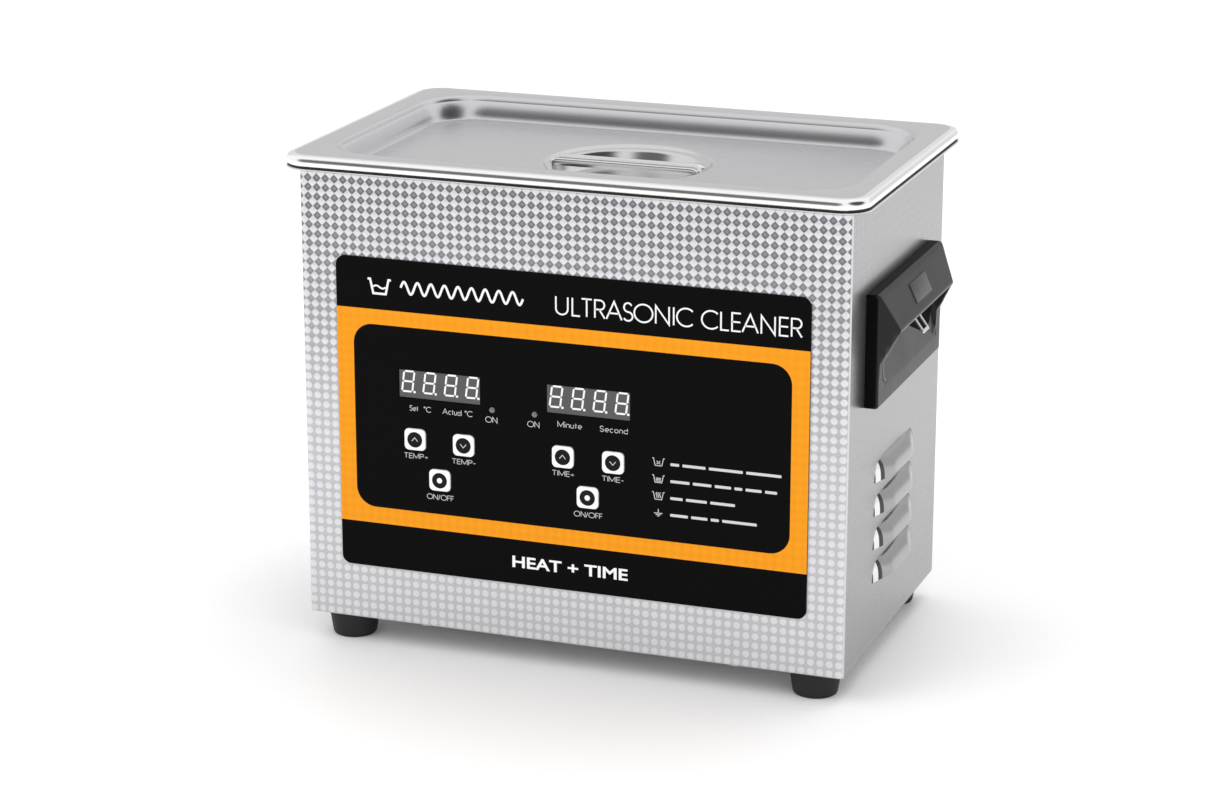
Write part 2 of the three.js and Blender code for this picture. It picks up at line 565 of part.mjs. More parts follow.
// ---------------------------------------------------------------- rear: fan and mains entry
function buildFan() {
  const { x, z, side, back, front, bore, rotor } = FAN;
  const half = side / 2;
  const body = pushedY(roundedRect(half, half, 4, x, z, 4), front, back);
  const tunnel = rodY(bore, front + 2.2, back + 1, x, z, 32);
  const mouth = rodY(bore - 1, front - 1, front + 2.4, x, z, 32);
  const spider = [
    rodY(11.5, front, front + 2, x, z, 20),
    rodY(2, front + 1.9, front + 8, x, z, 12),
    block(x - bore, x + bore, front, front + 2, z - 1.5, z + 1.5),
    block(x - 1.5, x + 1.5, front, front + 2, z - bore, z + bore),
  ];
  add("fan_frame", join(cut(body, tunnel, mouth), spider), FINISH.plastic);

  const hub = cut(rodY(11, front + 3, back - 3, x, z, 20), rodY(2.3, front + 2, front + 8.5, x, z, 12));
  const blades = [];
  for (let i = 0; i < 7; i++) {
    const blade = new THREE.BoxGeometry(rotor - 9.5, 1.4, 11);
    blade.translate((rotor + 9.5) / 2, 0, 0).rotateX(0.85);
    blade.rotateY((i * 2 * Math.PI) / 7).translate(x, (front + back) / 2 + 0.5, z);
    blades.push(solid(blade));
  }
  add("fan_rotor", join(hub, blades), FINISH.rubber);

  const ringAt = (r) => cut(rodY(r + 0.9, 75.2, 76.6, x, z, 20), rodY(r - 0.9, 75, 77, x, z, 20));
  const spokes = [0, 1].map((k) => {
    const bar = new THREE.BoxGeometry(2 * 28, 1.4, 1.8).rotateY(Math.PI / 4 + (k * Math.PI) / 2);
    return solid(bar.translate(x, 75.9, z));
  });
  const ears = [];
  for (const sx of [-1, 1]) {
    for (const sz of [-1, 1]) {
      const [ex, ez] = [x + sx * 25, z + sz * 25];
      const arm = new THREE.BoxGeometry(14, 1.4, 3).rotateY((-sx * sz * Math.PI) / 4);
      ears.push(solid(arm.translate(x + sx * 21.5, 75.9, z + sz * 21.5)));
      ears.push(rodY(3.4, 74, 76.6, ex, ez, 8));
    }
  }
  add("fan_guard", join([12, 20, 28].map(ringAt), spokes, ears, rodY(5, 75.2, 76.6, x, z, 12)), FINISH.polished);
}

function buildMainsEntry() {
  const { x, z } = INLET;
  const face = 76.6;
  const bezel = pushedY(roundedRect(24, 20.5, 4, x, z + 0.8, 4), 74, face);
  const body = block(x - 14, x + 14, 48, 74.2, z - 15.5, z + 17);
  const socket = pushedY([[-11.5, -11], [11.5, -11], [11.5, 1], [8, 4.5], [-8, 4.5], [-11.5, 1]]
    .map(([dx, dz]) => [x + dx, z + dz]), 60, face + 1);
  const pins = [[-7, -2], [0, -6], [7, -2]].map(([dx, dz]) =>
    block(x + dx - 1, x + dx + 1, 59, 71, z + dz - 2, z + dz + 2));
  const bay = block(x - 11.2, x + 11.2, 50, face + 1, z + 6.8, z + 15.4);
  const fixings = [-1, 1].map((s) => rodY(1.8, 72, face + 1, x + s * 20, z + 1, 12));
  add("mains_inlet", cut(join(cut(join(bezel, body), socket), pins), bay, fixings), FINISH.plastic);

  const drawer = block(x - 10.8, x + 10.8, 51, face, z + 7.2, z + 15);
  const lip = block(x - 12.5, x + 12.5, face + 0.1, face + 1.6, z + 6.4, z + 15.8);
  const neck = block(x - 10.8, x + 10.8, face - 0.5, face + 0.2, z + 7.2, z + 15);
  const tray = block(x - 9.9, x + 9.9, 53, 74, z + 8.4, z + 16);
  add("fuse_drawer", cut(join(drawer, lip, neck), tray), FINISH.plastic);
  const fuse = rodY(2.55, 54, 73.6, x, z + 11.05, 16);
  add("fuse", fuse, FINISH.glass);

  const s = SWITCH;
  const frame = pushedY(roundedRect(10, 13.6, 2, s.x, s.z, 4), 74, 76.4);
  const can = block(s.x - 8.4, s.x + 8.4, 56, 74.2, s.z - 11.9, s.z + 11.9);
  const well = block(s.x - 6.7, s.x + 6.7, 64, 78, s.z - 10.4, s.z + 10.4);
  const tabs = [-7, 0, 7].map((dz) => block(s.x - 3, s.x + 3, 49, 56.2, s.z + dz - 0.5, s.z + dz + 0.5));
  add("switch_body", cut(join(frame, can, tabs), well), FINISH.plastic);

  const rocker = [
    [4.6, -9], [3.5, 0], [4.6, 9], [2, 9], [-2.6, 6.6], [-4.4, 3], [-4.4, -3], [-2.6, -6.6], [2, -9],
  ];
  const tilt = (s.tilt * Math.PI) / 180;
  const turnedRocker = rocker.map(([y, zz]) => [
    s.pivotY + y * Math.cos(tilt) - zz * Math.sin(tilt),
    s.z + y * Math.sin(tilt) + zz * Math.cos(tilt),
  ]);
  add("switch_rocker", pushedX(turnedRocker, s.x - 6.3, s.x + 6.3), FINISH.rubber);

  const stud = [[0, 66], [2, 66], [2, 74], [4.4, 74], [4.4, 76], [2, 76], [2, 79], [1.4, 79.6], [0, 79.6]];
  add("earth_stud", turnedY(stud, -28, INLET.z, 12), FINISH.brass);
}

buildHousing();
buildRearPanel();
buildBase();
buildFeet();
buildTank();
buildLid();
buildBasket();
buildFront();
buildHandles();
buildTransducers();
buildElectronics();
buildFan();
buildMainsEntry();

export default group;
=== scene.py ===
"""Bench ultrasonic cleaner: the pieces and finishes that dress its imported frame.

Lengths are millimetres in the row frame (+X right, +Y back, +Z up) until a mesh is made.
"""

from __future__ import annotations

import json
import logging
import math
from dataclasses import dataclass, field
from enum import Enum
from typing import Iterable, Mapping, Optional, Sequence, Union

import bmesh  # noqa: E402
import bpy  # noqa: E402
from mathutils import Matrix, Vector  # noqa: E402

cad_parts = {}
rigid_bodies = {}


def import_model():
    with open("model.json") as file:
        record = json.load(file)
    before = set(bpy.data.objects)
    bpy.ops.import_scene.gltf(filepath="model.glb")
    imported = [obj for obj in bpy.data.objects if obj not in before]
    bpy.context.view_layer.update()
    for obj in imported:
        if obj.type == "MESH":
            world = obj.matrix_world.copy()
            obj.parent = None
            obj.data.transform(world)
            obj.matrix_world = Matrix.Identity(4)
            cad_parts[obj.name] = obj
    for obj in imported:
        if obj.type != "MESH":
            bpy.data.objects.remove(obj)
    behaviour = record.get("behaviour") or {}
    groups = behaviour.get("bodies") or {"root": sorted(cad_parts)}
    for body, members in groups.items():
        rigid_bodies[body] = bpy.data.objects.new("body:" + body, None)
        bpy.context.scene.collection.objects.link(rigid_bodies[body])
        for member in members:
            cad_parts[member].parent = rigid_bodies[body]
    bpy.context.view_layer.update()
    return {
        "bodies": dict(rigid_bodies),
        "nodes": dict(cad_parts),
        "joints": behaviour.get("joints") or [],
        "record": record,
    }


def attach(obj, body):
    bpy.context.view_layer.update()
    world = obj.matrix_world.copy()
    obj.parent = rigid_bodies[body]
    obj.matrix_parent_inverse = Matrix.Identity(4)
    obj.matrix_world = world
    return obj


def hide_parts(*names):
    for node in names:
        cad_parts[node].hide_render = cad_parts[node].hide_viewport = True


LOG = logging.getLogger("cleaner")
MM = 0.001
TAU = 2 * math.pi

Point = tuple[float, float, float]
Flat = tuple[float, float]
Ring = list[Point]
Colour = tuple[float, float, float]
Number = Union[int, float]


class Axis(Enum):
    """A direction of the row frame."""

    X = 0
    Y = 1
    Z = 2


class Side(Enum):
    """The cleaner's left or right side, with its sign along X."""

    LEFT = -1
    RIGHT = 1

    @property
    def word(self) -> str:
        """The side's name in lower case."""
        return self.name.lower()


# ---------------------------------------------------------------- shader maths
class Value:
    """A shader socket that carries one number, with Python's operators as Math nodes."""

    def __init__(self, graph: "Graph", socket: bpy.types.NodeSocket) -> None:
        """Wraps a socket."""
        self.graph = graph
        self.socket = socket

    def _math(self, operation: str, *operands: Union["Value", Number]) -> "Value":
        """One Math node."""
        made = self.graph.node("ShaderNodeMath", {"operation": operation}, dict(enumerate(operands)))
        return Value(self.graph, made.outputs[0])

    def __add__(self, other: Union["Value", Number]) -> "Value":
        """Sum."""
        return self._math("ADD", self, other)

    def __radd__(self, other: Number) -> "Value":
        """Sum with a number on the left."""
        return self._math("ADD", other, self)

    def __sub__(self, other: Union["Value", Number]) -> "Value":
        """Difference."""
        return self._math("SUBTRACT", self, other)

    def __rsub__(self, other: Number) -> "Value":
        """Difference with a number on the left."""
        return self._math("SUBTRACT", other, self)

    def __mul__(self, other: Union["Value", Number]) -> "Value":
        """Product."""
        return self._math("MULTIPLY", self, other)

    def __rmul__(self, other: Number) -> "Value":
        """Product with a number on the left."""
        return self._math("MULTIPLY", other, self)

    def __pow__(self, other: Union["Value", Number]) -> "Value":
        """Power."""
        return self._math("POWER", self, other)

    def __abs__(self) -> "Value":
        """Size without sign."""
        return self._math("ABSOLUTE", self)

    def cos(self) -> "Value":
        """Cosine of an angle in radians."""
        return self._math("COSINE", self)

    def fraction(self) -> "Value":
        """What is left over whole numbers."""
        return self._math("FRACT", self)

    def smooth(self, low: float, high: float) -> "Value":
        """A soft step.

        Args:
            low: Where the step starts at 0.
            high: Where it ends at 1.

        Returns:
            The step's value.
        """
        made = self.graph.node(
            "ShaderNodeMapRange",
            {"interpolation_type": "SMOOTHSTEP"},
            {"Value": self, "From Min": low, "From Max": high, "To Min": 0.0, "To Max": 1.0},
        )
        return Value(self.graph, made.outputs[0])


Input = Union[Value, bpy.types.NodeSocket, Number, Sequence[float]]


class Graph:
    """The node tree of a material or a world."""

    def __init__(self, owner: Union[bpy.types.Material, bpy.types.World]) -> None:
        """Empties the owner's tree.

        Args:
            owner: The material or world that the nodes belong to.
        """
        owner.use_nodes = True
        self.owner = owner
        self.tree = owner.node_tree
        self.tree.nodes.clear()

    def node(self, kind: str, settings: Mapping[str, object],
             inputs: Mapping[object, Input]) -> bpy.types.Node:
        """Adds a node.

        Args:
            kind: The node's type.
            settings: Its own properties, set before its sockets.
            inputs: Numbers, colours or links by socket name or place.

        Returns:
            The node.
        """
        made = self.tree.nodes.new(kind)
        for name, setting in settings.items():
            setattr(made, name, setting)
        for name, given in inputs.items():
            socket = made.inputs[name]
            if isinstance(given, Value):
                self.tree.links.new(given.socket, socket)
            elif isinstance(given, bpy.types.NodeSocket):
                self.tree.links.new(given, socket)
            else:
                socket.default_value = given
        return made

    def position(self) -> tuple[Value, Value, Value]:
        """The place on the piece in millimetres, as three values."""
        coordinates = self.node("ShaderNodeTexCoord", {}, {})
        parts = self.node("ShaderNodeSeparateXYZ", {}, {0: coordinates.outputs["Object"]})
        x, y, z = (Value(self, parts.outputs[i]) * (1 / MM) for i in range(3))
        return x, y, z

    def stretched(self, feature: Point) -> bpy.types.NodeSocket:
        """Piece coordinates scaled for a texture.

        Args:
            feature: The texture's feature size along each axis, in millimetres.

        Returns:
            The scaled vector.
        """
        coordinates = self.node("ShaderNodeTexCoord", {}, {})
        scale = tuple(1 / (MM * size) for size in feature)
        made = self.node(
            "ShaderNodeVectorMath", {"operation": "MULTIPLY"},
            {0: coordinates.outputs["Object"], 1: scale}
        )
        return made.outputs[0]

    def noise(self, feature: Point, detail: float = 2.0) -> Value:
        """Soft noise about 0.5.

        Args:
            feature: Its feature size along each axis, in millimetres.
            detail: How many finer layers it has.

        Returns:
            The noise.
        """
        inputs = {"Vector": self.stretched(feature), "Scale": 1.0, "Detail": detail}
        made = self.node("ShaderNodeTexNoise", {}, inputs)
        return Value(self, made.outputs[0])

    def cells(self, feature: Point) -> Value:
        """Distance to the edges of irregular cells.

        Args:
            feature: The cells' size along each axis, in millimetres.

        Returns:
            The distance, 0 on an edge.
        """
        inputs = {"Vector": self.stretched(feature), "Scale": 1.0}
        made = self.node("ShaderNodeTexVoronoi", {"feature": "DISTANCE_TO_EDGE"}, inputs)
        return Value(self, made.outputs[0])

    def mix(self, factor: Value, first: Input, second: Input) -> bpy.types.NodeSocket:
        """Blends two colours.

        Args:
            factor: 0 for the first and 1 for the second.
            first: A colour or a link.
            second: A colour or a link.

        Returns:
            The blended colour.
        """
        pair = [four(c) if isinstance(c, tuple) else c for c in (first, second)]
        settings = {"data_type": "RGBA", "clamp_factor": True}
        made = self.node("ShaderNodeMix", settings, {0: factor, 6: pair[0], 7: pair[1]})
        return made.outputs[2]

    def bump(self, height: Value, depth: float) -> bpy.types.NodeSocket:
        """A normal from a height."""
        made = self.node("ShaderNodeBump", {},
                         {"Strength": 1.0, "Distance": depth * MM, "Height": height})
        return made.outputs[0]

    def surface(self, **sockets: Input) -> None:
        """Ends a material in a Principled shader.

        Args:
            sockets: Its inputs, with _ for a space.
        """
        inputs = {}
        for name, given in sockets.items():
            plain = name.replace("_", " ")
            inputs[plain] = four(given) if isinstance(given, tuple) else given
        shader = self.node("ShaderNodeBsdfPrincipled", {}, inputs)
        self.node("ShaderNodeOutputMaterial", {}, {0: shader.outputs[0]})


def four(colour: Sequence[float]) -> tuple[float, float, float, float]:
    """A colour with full alpha."""
    return (colour[0], colour[1], colour[2], 1.0)


def grey(level: float, warmth: float = 0.0) -> Colour:
    """A grey."""
    return (level, level, level * (1 - warmth))


# ---------------------------------------------------------------- finishes
class Grain(Enum):
    """The direction of a metal's brush marks, as feature sizes along X, Y and Z in millimetres."""

    ALONG_X = (26.0, 0.16, 0.16)
    ALONG_Y = (0.16, 26.0, 0.16)
    ALONG_Z = (0.16, 0.16, 26.0)
    CLOUDY = (0.5, 0.5, 0.5)


@dataclass(frozen=True)
class Finish:
    """A named surface finish."""

    name: str

    def material(self) -> bpy.types.Material:
        """Makes the finish's material."""
        made = bpy.data.materials.new(self.name)
        self.paint(Graph(made))
        return made

    def paint(self, graph: Graph) -> None:
        """Builds the nodes."""
        raise NotImplementedError


@dataclass(frozen=True)
class Metal(Finish):
    """Bare metal with brush marks and soft handling marks."""

    colour: Colour = (0.6, 0.6, 0.61)
    roughness: float = 0.3
    grain: Grain = Grain.CLOUDY
    brush: float = 0.10
    depth: float = 0.002
    smudge: float = 0.05

    def paint(self, graph: Graph) -> None:
        """Builds brushed metal.

        Args:
            graph: The material's empty graph.
        """
        marks = graph.noise(self.grain.value, 3.0)
        cloud = graph.noise((38.0, 38.0, 38.0), 3.0)
        tone = (marks - 0.5) * self.brush + (cloud - 0.5) * self.smudge
        dark = tuple(c * 0.9 for c in self.colour)
        light = tuple(min(1.0, c * 1.1) for c in self.colour)
        graph.surface(
            Base_Color=graph.mix(tone * 2.0 + 0.5, dark, light),
            Metallic=1.0,
            Roughness=tone * 0.6 + self.roughness,
            Normal=graph.bump(marks, self.depth),
        )


@dataclass(frozen=True)
class Moulded(Finish):
    """Moulded plastic, rubber or print, with a fine skin and slight mottling."""

    colour: Colour = (0.05, 0.05, 0.05)
    roughness: float = 0.4
    skin: float = 0.35
    depth: float = 0.006
    mottle: float = 0.12
    gloss: float = 0.5
    coat: float = 0.0

    def paint(self, graph: Graph) -> None:
        """Builds a moulded surface.

        Args:
            graph: The material's empty graph.
        """
        skin = graph.noise((self.skin, self.skin, self.skin), 2.0)
        cloud = graph.noise((17.0, 17.0, 17.0), 3.0)
        dark = tuple(c * (1 - self.mottle) for c in self.colour)
        light = tuple(min(1.0, c * (1 + self.mottle)) for c in self.colour)
        graph.surface(
            Base_Color=graph.mix(cloud, dark, light),
            Roughness=(cloud - 0.5) * 0.12 + (skin - 0.5) * 0.08 + self.roughness,
            Specular_IOR_Level=self.gloss,
            Coat_Weight=self.coat,
            Coat_Roughness=0.08,
            Normal=graph.bump(skin, self.depth),
        )


@dataclass(frozen=True)
class Embossed(Finish):
    """Stainless sheet pressed with a lattice of small pads.

    Its colour paints the lattice's reflections and shade: light pads that look square on end on a ground
    painted dark near the top, and round light dots on a paler ground lower down.
    """

    axis: Axis = Axis.X
    origin: float = -125.0
    pitch: float = 250 / 60
    rise: float = 205 / 49
    # The next fields give the pads' colour and the darker colour of the ground between them, low and high
    # on the sheet: painted reflection and shade. The ground is painted darkest towards the top, between
    # the two heights given after warmth.
    pad: tuple[float, float] = (0.74, 0.74)
    painted_ground_shade: tuple[float, float] = (0.57, 0.19)
    warmth: float = -0.04
    painted_reflection_band: tuple[float, float] = (95.0, 214.0)
    roughness: float = 0.3
    coarser: float = 0.12

    def paint(self, graph: Graph) -> None:
        """Builds the lattice.

        Args:
            graph: The material's empty graph.
        """
        place = graph.position()
        column = (place[self.axis.value] - self.origin) * (1 / self.pitch)
        row = (place[2] - 12.0) * (1 / self.rise)
        wave = ((column * TAU).cos() + (row * TAU).cos()) * -0.5
        diamond = wave.smooth(-0.15, 0.08)
        across = column.fraction() - 0.5
        along = row.fraction() - 0.5
        reach = (across * across + along * along) ** 0.5
        dot = 1 - reach.smooth(0.29, 0.45)
        # Painted reflection and shade: towards the top the ground is painted darker and the pads square;
        # lower down the pads are painted as round dots on a paler ground.
        high = place[2].smooth(self.painted_reflection_band[0], self.painted_reflection_band[1])
        mask = dot * (1 - high) + diamond * high
        cloud = graph.noise((30.0, 30.0, 30.0), 3.0)
        # Painted reflection: a lighter spot in the middle of each deepest hollow near the top.
        painted_hollow_reflection = wave.smooth(-0.5, -0.98) * high * 0.3
        painted_ground_shade = graph.mix(high, grey(self.painted_ground_shade[0], self.warmth), grey(self.painted_ground_shade[1], self.warmth))
        floor = graph.mix(painted_hollow_reflection, painted_ground_shade, grey(0.6, self.warmth))
        pads = graph.mix(high, grey(self.pad[0], self.warmth), grey(self.pad[1], self.warmth))
        mottled = graph.mix((cloud - 0.5) * 0.3 + 0.05, pads, grey(0.55, self.warmth))
        graph.surface(
            Base_Color=graph.mix(mask, floor, mottled),
            Metallic=0.9,
            Roughness=(1 - mask) * self.coarser + (cloud - 0.5) * 0.06 + self.roughness,
        )


@dataclass(frozen=True)
class Film(Finish):
    """Printed film over the embossed sheet, whose lattice shows through faintly, as a bump and as painted
    shade in its colour.
    """

    colour: Colour = (0.01, 0.01, 0.01)
    shade: float = 0.10
    roughness: float = 0.42
    depth: float = 0.01
    gloss: float = 0.35

    def paint(self, graph: Graph) -> None:
        """Builds the film.

        Args:
            graph: The material's empty graph.
        """
        x, _, z = graph.position()
        wave = ((x * (TAU * 60 / 250)).cos() + (z * (TAU * 49 / 205)).cos()) * 0.25 + 0.5
        cloud = graph.noise((21.0, 21.0, 21.0), 2.0)
        dark = tuple(c * (1 - self.shade) for c in self.colour)
        light = tuple(min(1.0, c * (1 + self.shade * 0.4)) for c in self.colour)
        # The lattice's wave lightens and darkens the colour: painted shade of the relief; the cloud is a
        # random tone.
        graph.surface(
            Base_Color=graph.mix(wave * 0.7 + cloud * 0.3, dark, light),
            Roughness=(cloud - 0.5) * 0.08 + self.roughness,
            Specular_IOR_Level=self.gloss,
            Normal=graph.bump(wave, self.depth),
        )


@dataclass(frozen=True)
class Clear(Finish):
    """Clear glass or tinted clear plastic."""

    colour: Colour = (0.9, 0.93, 0.95)
    roughness: float = 0.05

    def paint(self, graph: Graph) -> None:
        """Builds the glass.

        Args:
            graph: The material's empty graph.
        """
        cloud = graph.noise((6.0, 6.0, 6.0), 2.0)
        dark = tuple(c * 0.93 for c in self.colour)
        graph.surface(
            Base_Color=graph.mix(cloud, dark, self.colour),
            Roughness=cloud * 0.03 + self.roughness,
            Transmission_Weight=0.85,
            IOR=1.49,
        )


@dataclass(frozen=True)
class Board(Finish):
    """Circuit board under solder mask, with the tracks showing through."""

    colour: Colour = (0.012, 0.16, 0.05)

    def paint(self, graph: Graph) -> None:
        """Builds the board.

        Args:
            graph: The material's empty graph.
        """
        tracks = 1 - graph.cells((5.0, 5.0, 5.0)).smooth(0.04, 0.09)
        light = tuple(min(1.0, c * 1.9 + 0.02) for c in self.colour)
        graph.surface(
            Base_Color=graph.mix(tracks, self.colour, light),
            Roughness=tracks * 0.08 + 0.34,
            Normal=graph.bump(tracks, 0.03),
        )


# ---------------------------------------------------------------- shapes
def rounded(half_x: float, half_y: float, radius: float, corner: int = 8,
            long: int = 1, short: int = 1, centre: Flat = (0.0, 0.0)) -> list[Flat]:
    """A rounded rectangle, anticlockwise.

    Args:
        half_x: Half its width.
        half_y: Half its depth.
        radius: Its corner radius.
        corner: Steps round a corner.
        long: Steps along each side that runs in the first direction.
        short: Steps along each other side.
        centre: Its middle.

    Returns:
        Its points.
    """
    arcs = []
    for quarter, (sx, sy) in enumerate(((1, 1), (-1, 1), (-1, -1), (1, -1))):
        arc = []
        for step in range(corner + 1):
            angle = (quarter + step / corner) * math.pi / 2
            arc.append((
                centre[0] + sx * (half_x - radius) + radius * math.cos(angle),
                centre[1] + sy * (half_y - radius) + radius * math.sin(angle),
            ))
        arcs.append(arc)
    points: list[Flat] = []
    for index, arc in enumerate(arcs):
        points.extend(arc)
        start, end = arc[-1], arcs[(index + 1) % 4][0]
        steps = long if index % 2 == 0 else short
        for step in range(1, steps):
            share = step / steps
            points.append((start[0] + (end[0] - start[0]) * share,
                           start[1] + (end[1] - start[1]) * share))
    return points


def filleted(corners: Sequence[Flat], radius: float, steps: int = 3) -> list[Flat]:
    """Rounds the corners of an outline.

    Args:
        corners: The outline.
        radius: How far from each corner its rounding starts, where the sides are long enough.
        steps: Steps round a corner.

    Returns:
        The rounded outline.
    """
    points: list[Flat] = []
    count = len(corners)
    for index in range(count):
        before, here, after = (Vector(corners[(index + k) % count]) for k in (-1, 0, 1))
        starts = []
        for other in (before, after):
            side = other - here
            starts.append(here + side * min(0.42, radius / max(side.length, 1e-6)))
        for step in range(steps + 1):
            t = step / steps
            spot = starts[0] * (1 - t) ** 2 + here * 2 * t * (1 - t) + starts[1] * t * t
            points.append((spot.x, spot.y))
    return points


def level(outline: Iterable[Flat], z: float) -> Ring:
    """An outline laid flat at a height."""
    return [(x, y, z) for x, y in outline]


def upright(outline: Iterable[Flat], y: float) -> Ring:
    """An outline in the XZ plane at a depth."""
    return [(x, y, z) for x, z in outline]


def curve_through(points: Sequence[Point], steps: int) -> list[Point]:
    """A smooth curve through points.

    Args:
        points: The points.
        steps: Steps between two of them.

    Returns:
        The curve's points.
    """
    known = [Vector(p) for p in points]
    ends = [known[0] * 2 - known[1], *known, known[-1] * 2 - known[-2]]
    path: list[Point] = []
    for index in range(1, len(ends) - 2):
        a, b, c, d = ends[index - 1: index + 3]
        for step in range(steps):
            t = step / steps
            spot = 0.5 * (2 * b + (c - a) * t + (2 * a - 5 * b + 4 * c - d) * t ** 2
                          + (3 * b - a - 3 * c + d) * t ** 3)
            path.append(tuple(spot))
    path.append(tuple(known[-1]))
    return path


class Shape:
    """Points and faces of one piece, gathered in millimetres."""

    def __init__(self) -> None:
        """Starts empty, with new faces in the first finish."""
        self.points: list[Point] = []
        self.faces: list[tuple[int, ...]] = []
        self.finishes: list[int] = []
        self.finish = 0

    def face(self, *corners: int) -> None:
        """Adds a face by its corners' places in the list of points."""
        self.faces.append(corners)
        self.finishes.append(self.finish)

    def loft(self, rings: Sequence[Ring], round_trip: bool = True, caps: tuple[bool, bool] = (True, True),
             loop: bool = False) -> "Shape":
        """Adds a surface through rings of equally many points.

        Args:
            rings: The rings.
            round_trip: Whether each ring closes on itself.
            caps: Whether the first and the last ring are filled.
            loop: Whether the last ring joins the first.

        Returns:
            This shape.
        """
        start = len(self.points)
        count = len(rings[0])
        for ring in rings:
            self.points.extend(ring)
        turns = len(rings) if loop else len(rings) - 1
        span = count if round_trip else count - 1
        for k in range(turns):
            low = start + k * count
            high = start + ((k + 1) % len(rings)) * count
            for i in range(span):
                j = (i + 1) % count
                self.face(low + i, low + j, high + j, high + i)
        if not loop and round_trip:
            last = start + (len(rings) - 1) * count
            if caps[0]:
                self.face(*range(start + count - 1, start - 1, -1))
            if caps[1]:
                self.face(*range(last, last + count))
        return self

    def turned(self, profile: Sequence[Flat], centre: Point, axis: Axis = Axis.Z, steps: int = 32,
               loop: bool = False) -> "Shape":
        """Adds a turned form.

        Args:
            profile: Pairs of radius and distance along the axis.
            centre: A point that the axis goes through.
            axis: The axis.
            steps: Steps round it.
            loop: Whether the profile closes on itself, as a ring's does.

        Returns:
            This shape.
        """
        rings = []
        for radius, along in profile:
            ring = []
            for step in range(steps):
                angle = TAU * step / steps
                a, b = radius * math.cos(angle), radius * math.sin(angle)
                spot = {Axis.X: (along, a, b), Axis.Y: (b, along, a), Axis.Z: (a, b, along)}[axis]
                ring.append(tuple(spot[i] + centre[i] for i in range(3)))
            rings.append(ring)
        caps = (profile[0][0] > 0.01, profile[-1][0] > 0.01)
        return self.loft(rings, caps=caps, loop=loop)

    def tube(self, path: Sequence[Point], radius: float, sides: int = 8, loop: bool = False) -> "Shape":
        """Adds a round wire along a path.

        Args:
            path: The points that its middle follows.
            radius: The wire's radius.
            sides: Sides of its section.
            loop: Whether it closes on itself.

        Returns:
            This shape.
        """
        spots = [Vector(p) for p in path]
        count = len(spots)
        rings = []
        side: Optional[Vector] = None
        for index, spot in enumerate(spots):
            before = spots[index - 1] if index or loop else spot
            after = spots[(index + 1) % count] if index < count - 1 or loop else spot
            along = (after - before).normalized()
            if side is None:
                side = along.cross(Vector((0.31, 0.17, 0.93))).normalized()
            side = (side - along * side.dot(along)).normalized()
            other = along.cross(side)
            ring = []
            for step in range(sides):
                angle = TAU * step / sides
                ring.append(tuple(spot + (side * math.cos(angle) + other * math.sin(angle)) * radius))
            rings.append(ring)
        return self.loft(rings, loop=loop)

    def pushed(self, outline: Sequence[Flat], y0: float, y1: float) -> "Shape":
        """Adds a plate whose outline faces the front."""
        return self.loft([upright(outline, y0), upright(outline, y1)])

    def pad(self, outlines: Sequence[tuple[Sequence[Flat], float]]) -> "Shape":
        """Adds a form through outlines that face the front."""
        return self.loft([upright(outline, y) for outline, y in outlines])

    def block(self, low: Point, high: Point) -> "Shape":
        """Adds a box.

        Args:
            low: Its lowest corner.
            high: Its highest corner.

        Returns:
            This shape.
        """
        (x0, y0, z0), (x1, y1, z1) = low, high
        plan = [(x0, y0), (x1, y0), (x1, y1), (x0, y1)]
        return self.loft([level(plan, z0), level(plan, z1)])

    def stroke(self, path: Sequence[Flat], width: float, y0: float, y1: float,
               loop: bool = False) -> "Shape":
        """Adds a printed line that faces the front.

        Args:
            path: Its points in the XZ plane.
            width: Its width.
            y0: Its front.
            y1: Its back.
            loop: Whether it closes on itself.

        Returns:
            This shape.
        """
        spots = [Vector(p) for p in path]
        count = len(spots)
        left: list[Flat] = []
        right: list[Flat] = []
        for index, spot in enumerate(spots):
            before = spots[index - 1] if index or loop else spot
            after = spots[(index + 1) % count] if index < count - 1 or loop else spot
            first, second = spot - before, after - spot
            if first.length < 1e-6:
                first = second
            if second.length < 1e-6:
                second = first
            along = (first.normalized() + second.normalized()).normalized()
            across = Vector((-along.y, along.x))
            bend = max(0.35, across.dot(Vector((-first.y, first.x)).normalized()))
            offset = across * (width / 2 / bend)
            left.append(tuple(spot + offset))
            right.append(tuple(spot - offset))
        sections = [[(a[0], y0, a[1]), (b[0], y0, b[1]), (b[0], y1, b[1]), (a[0], y1, a[1])]
                    for a, b in zip(left, right)]
        return self.loft(sections, loop=loop)

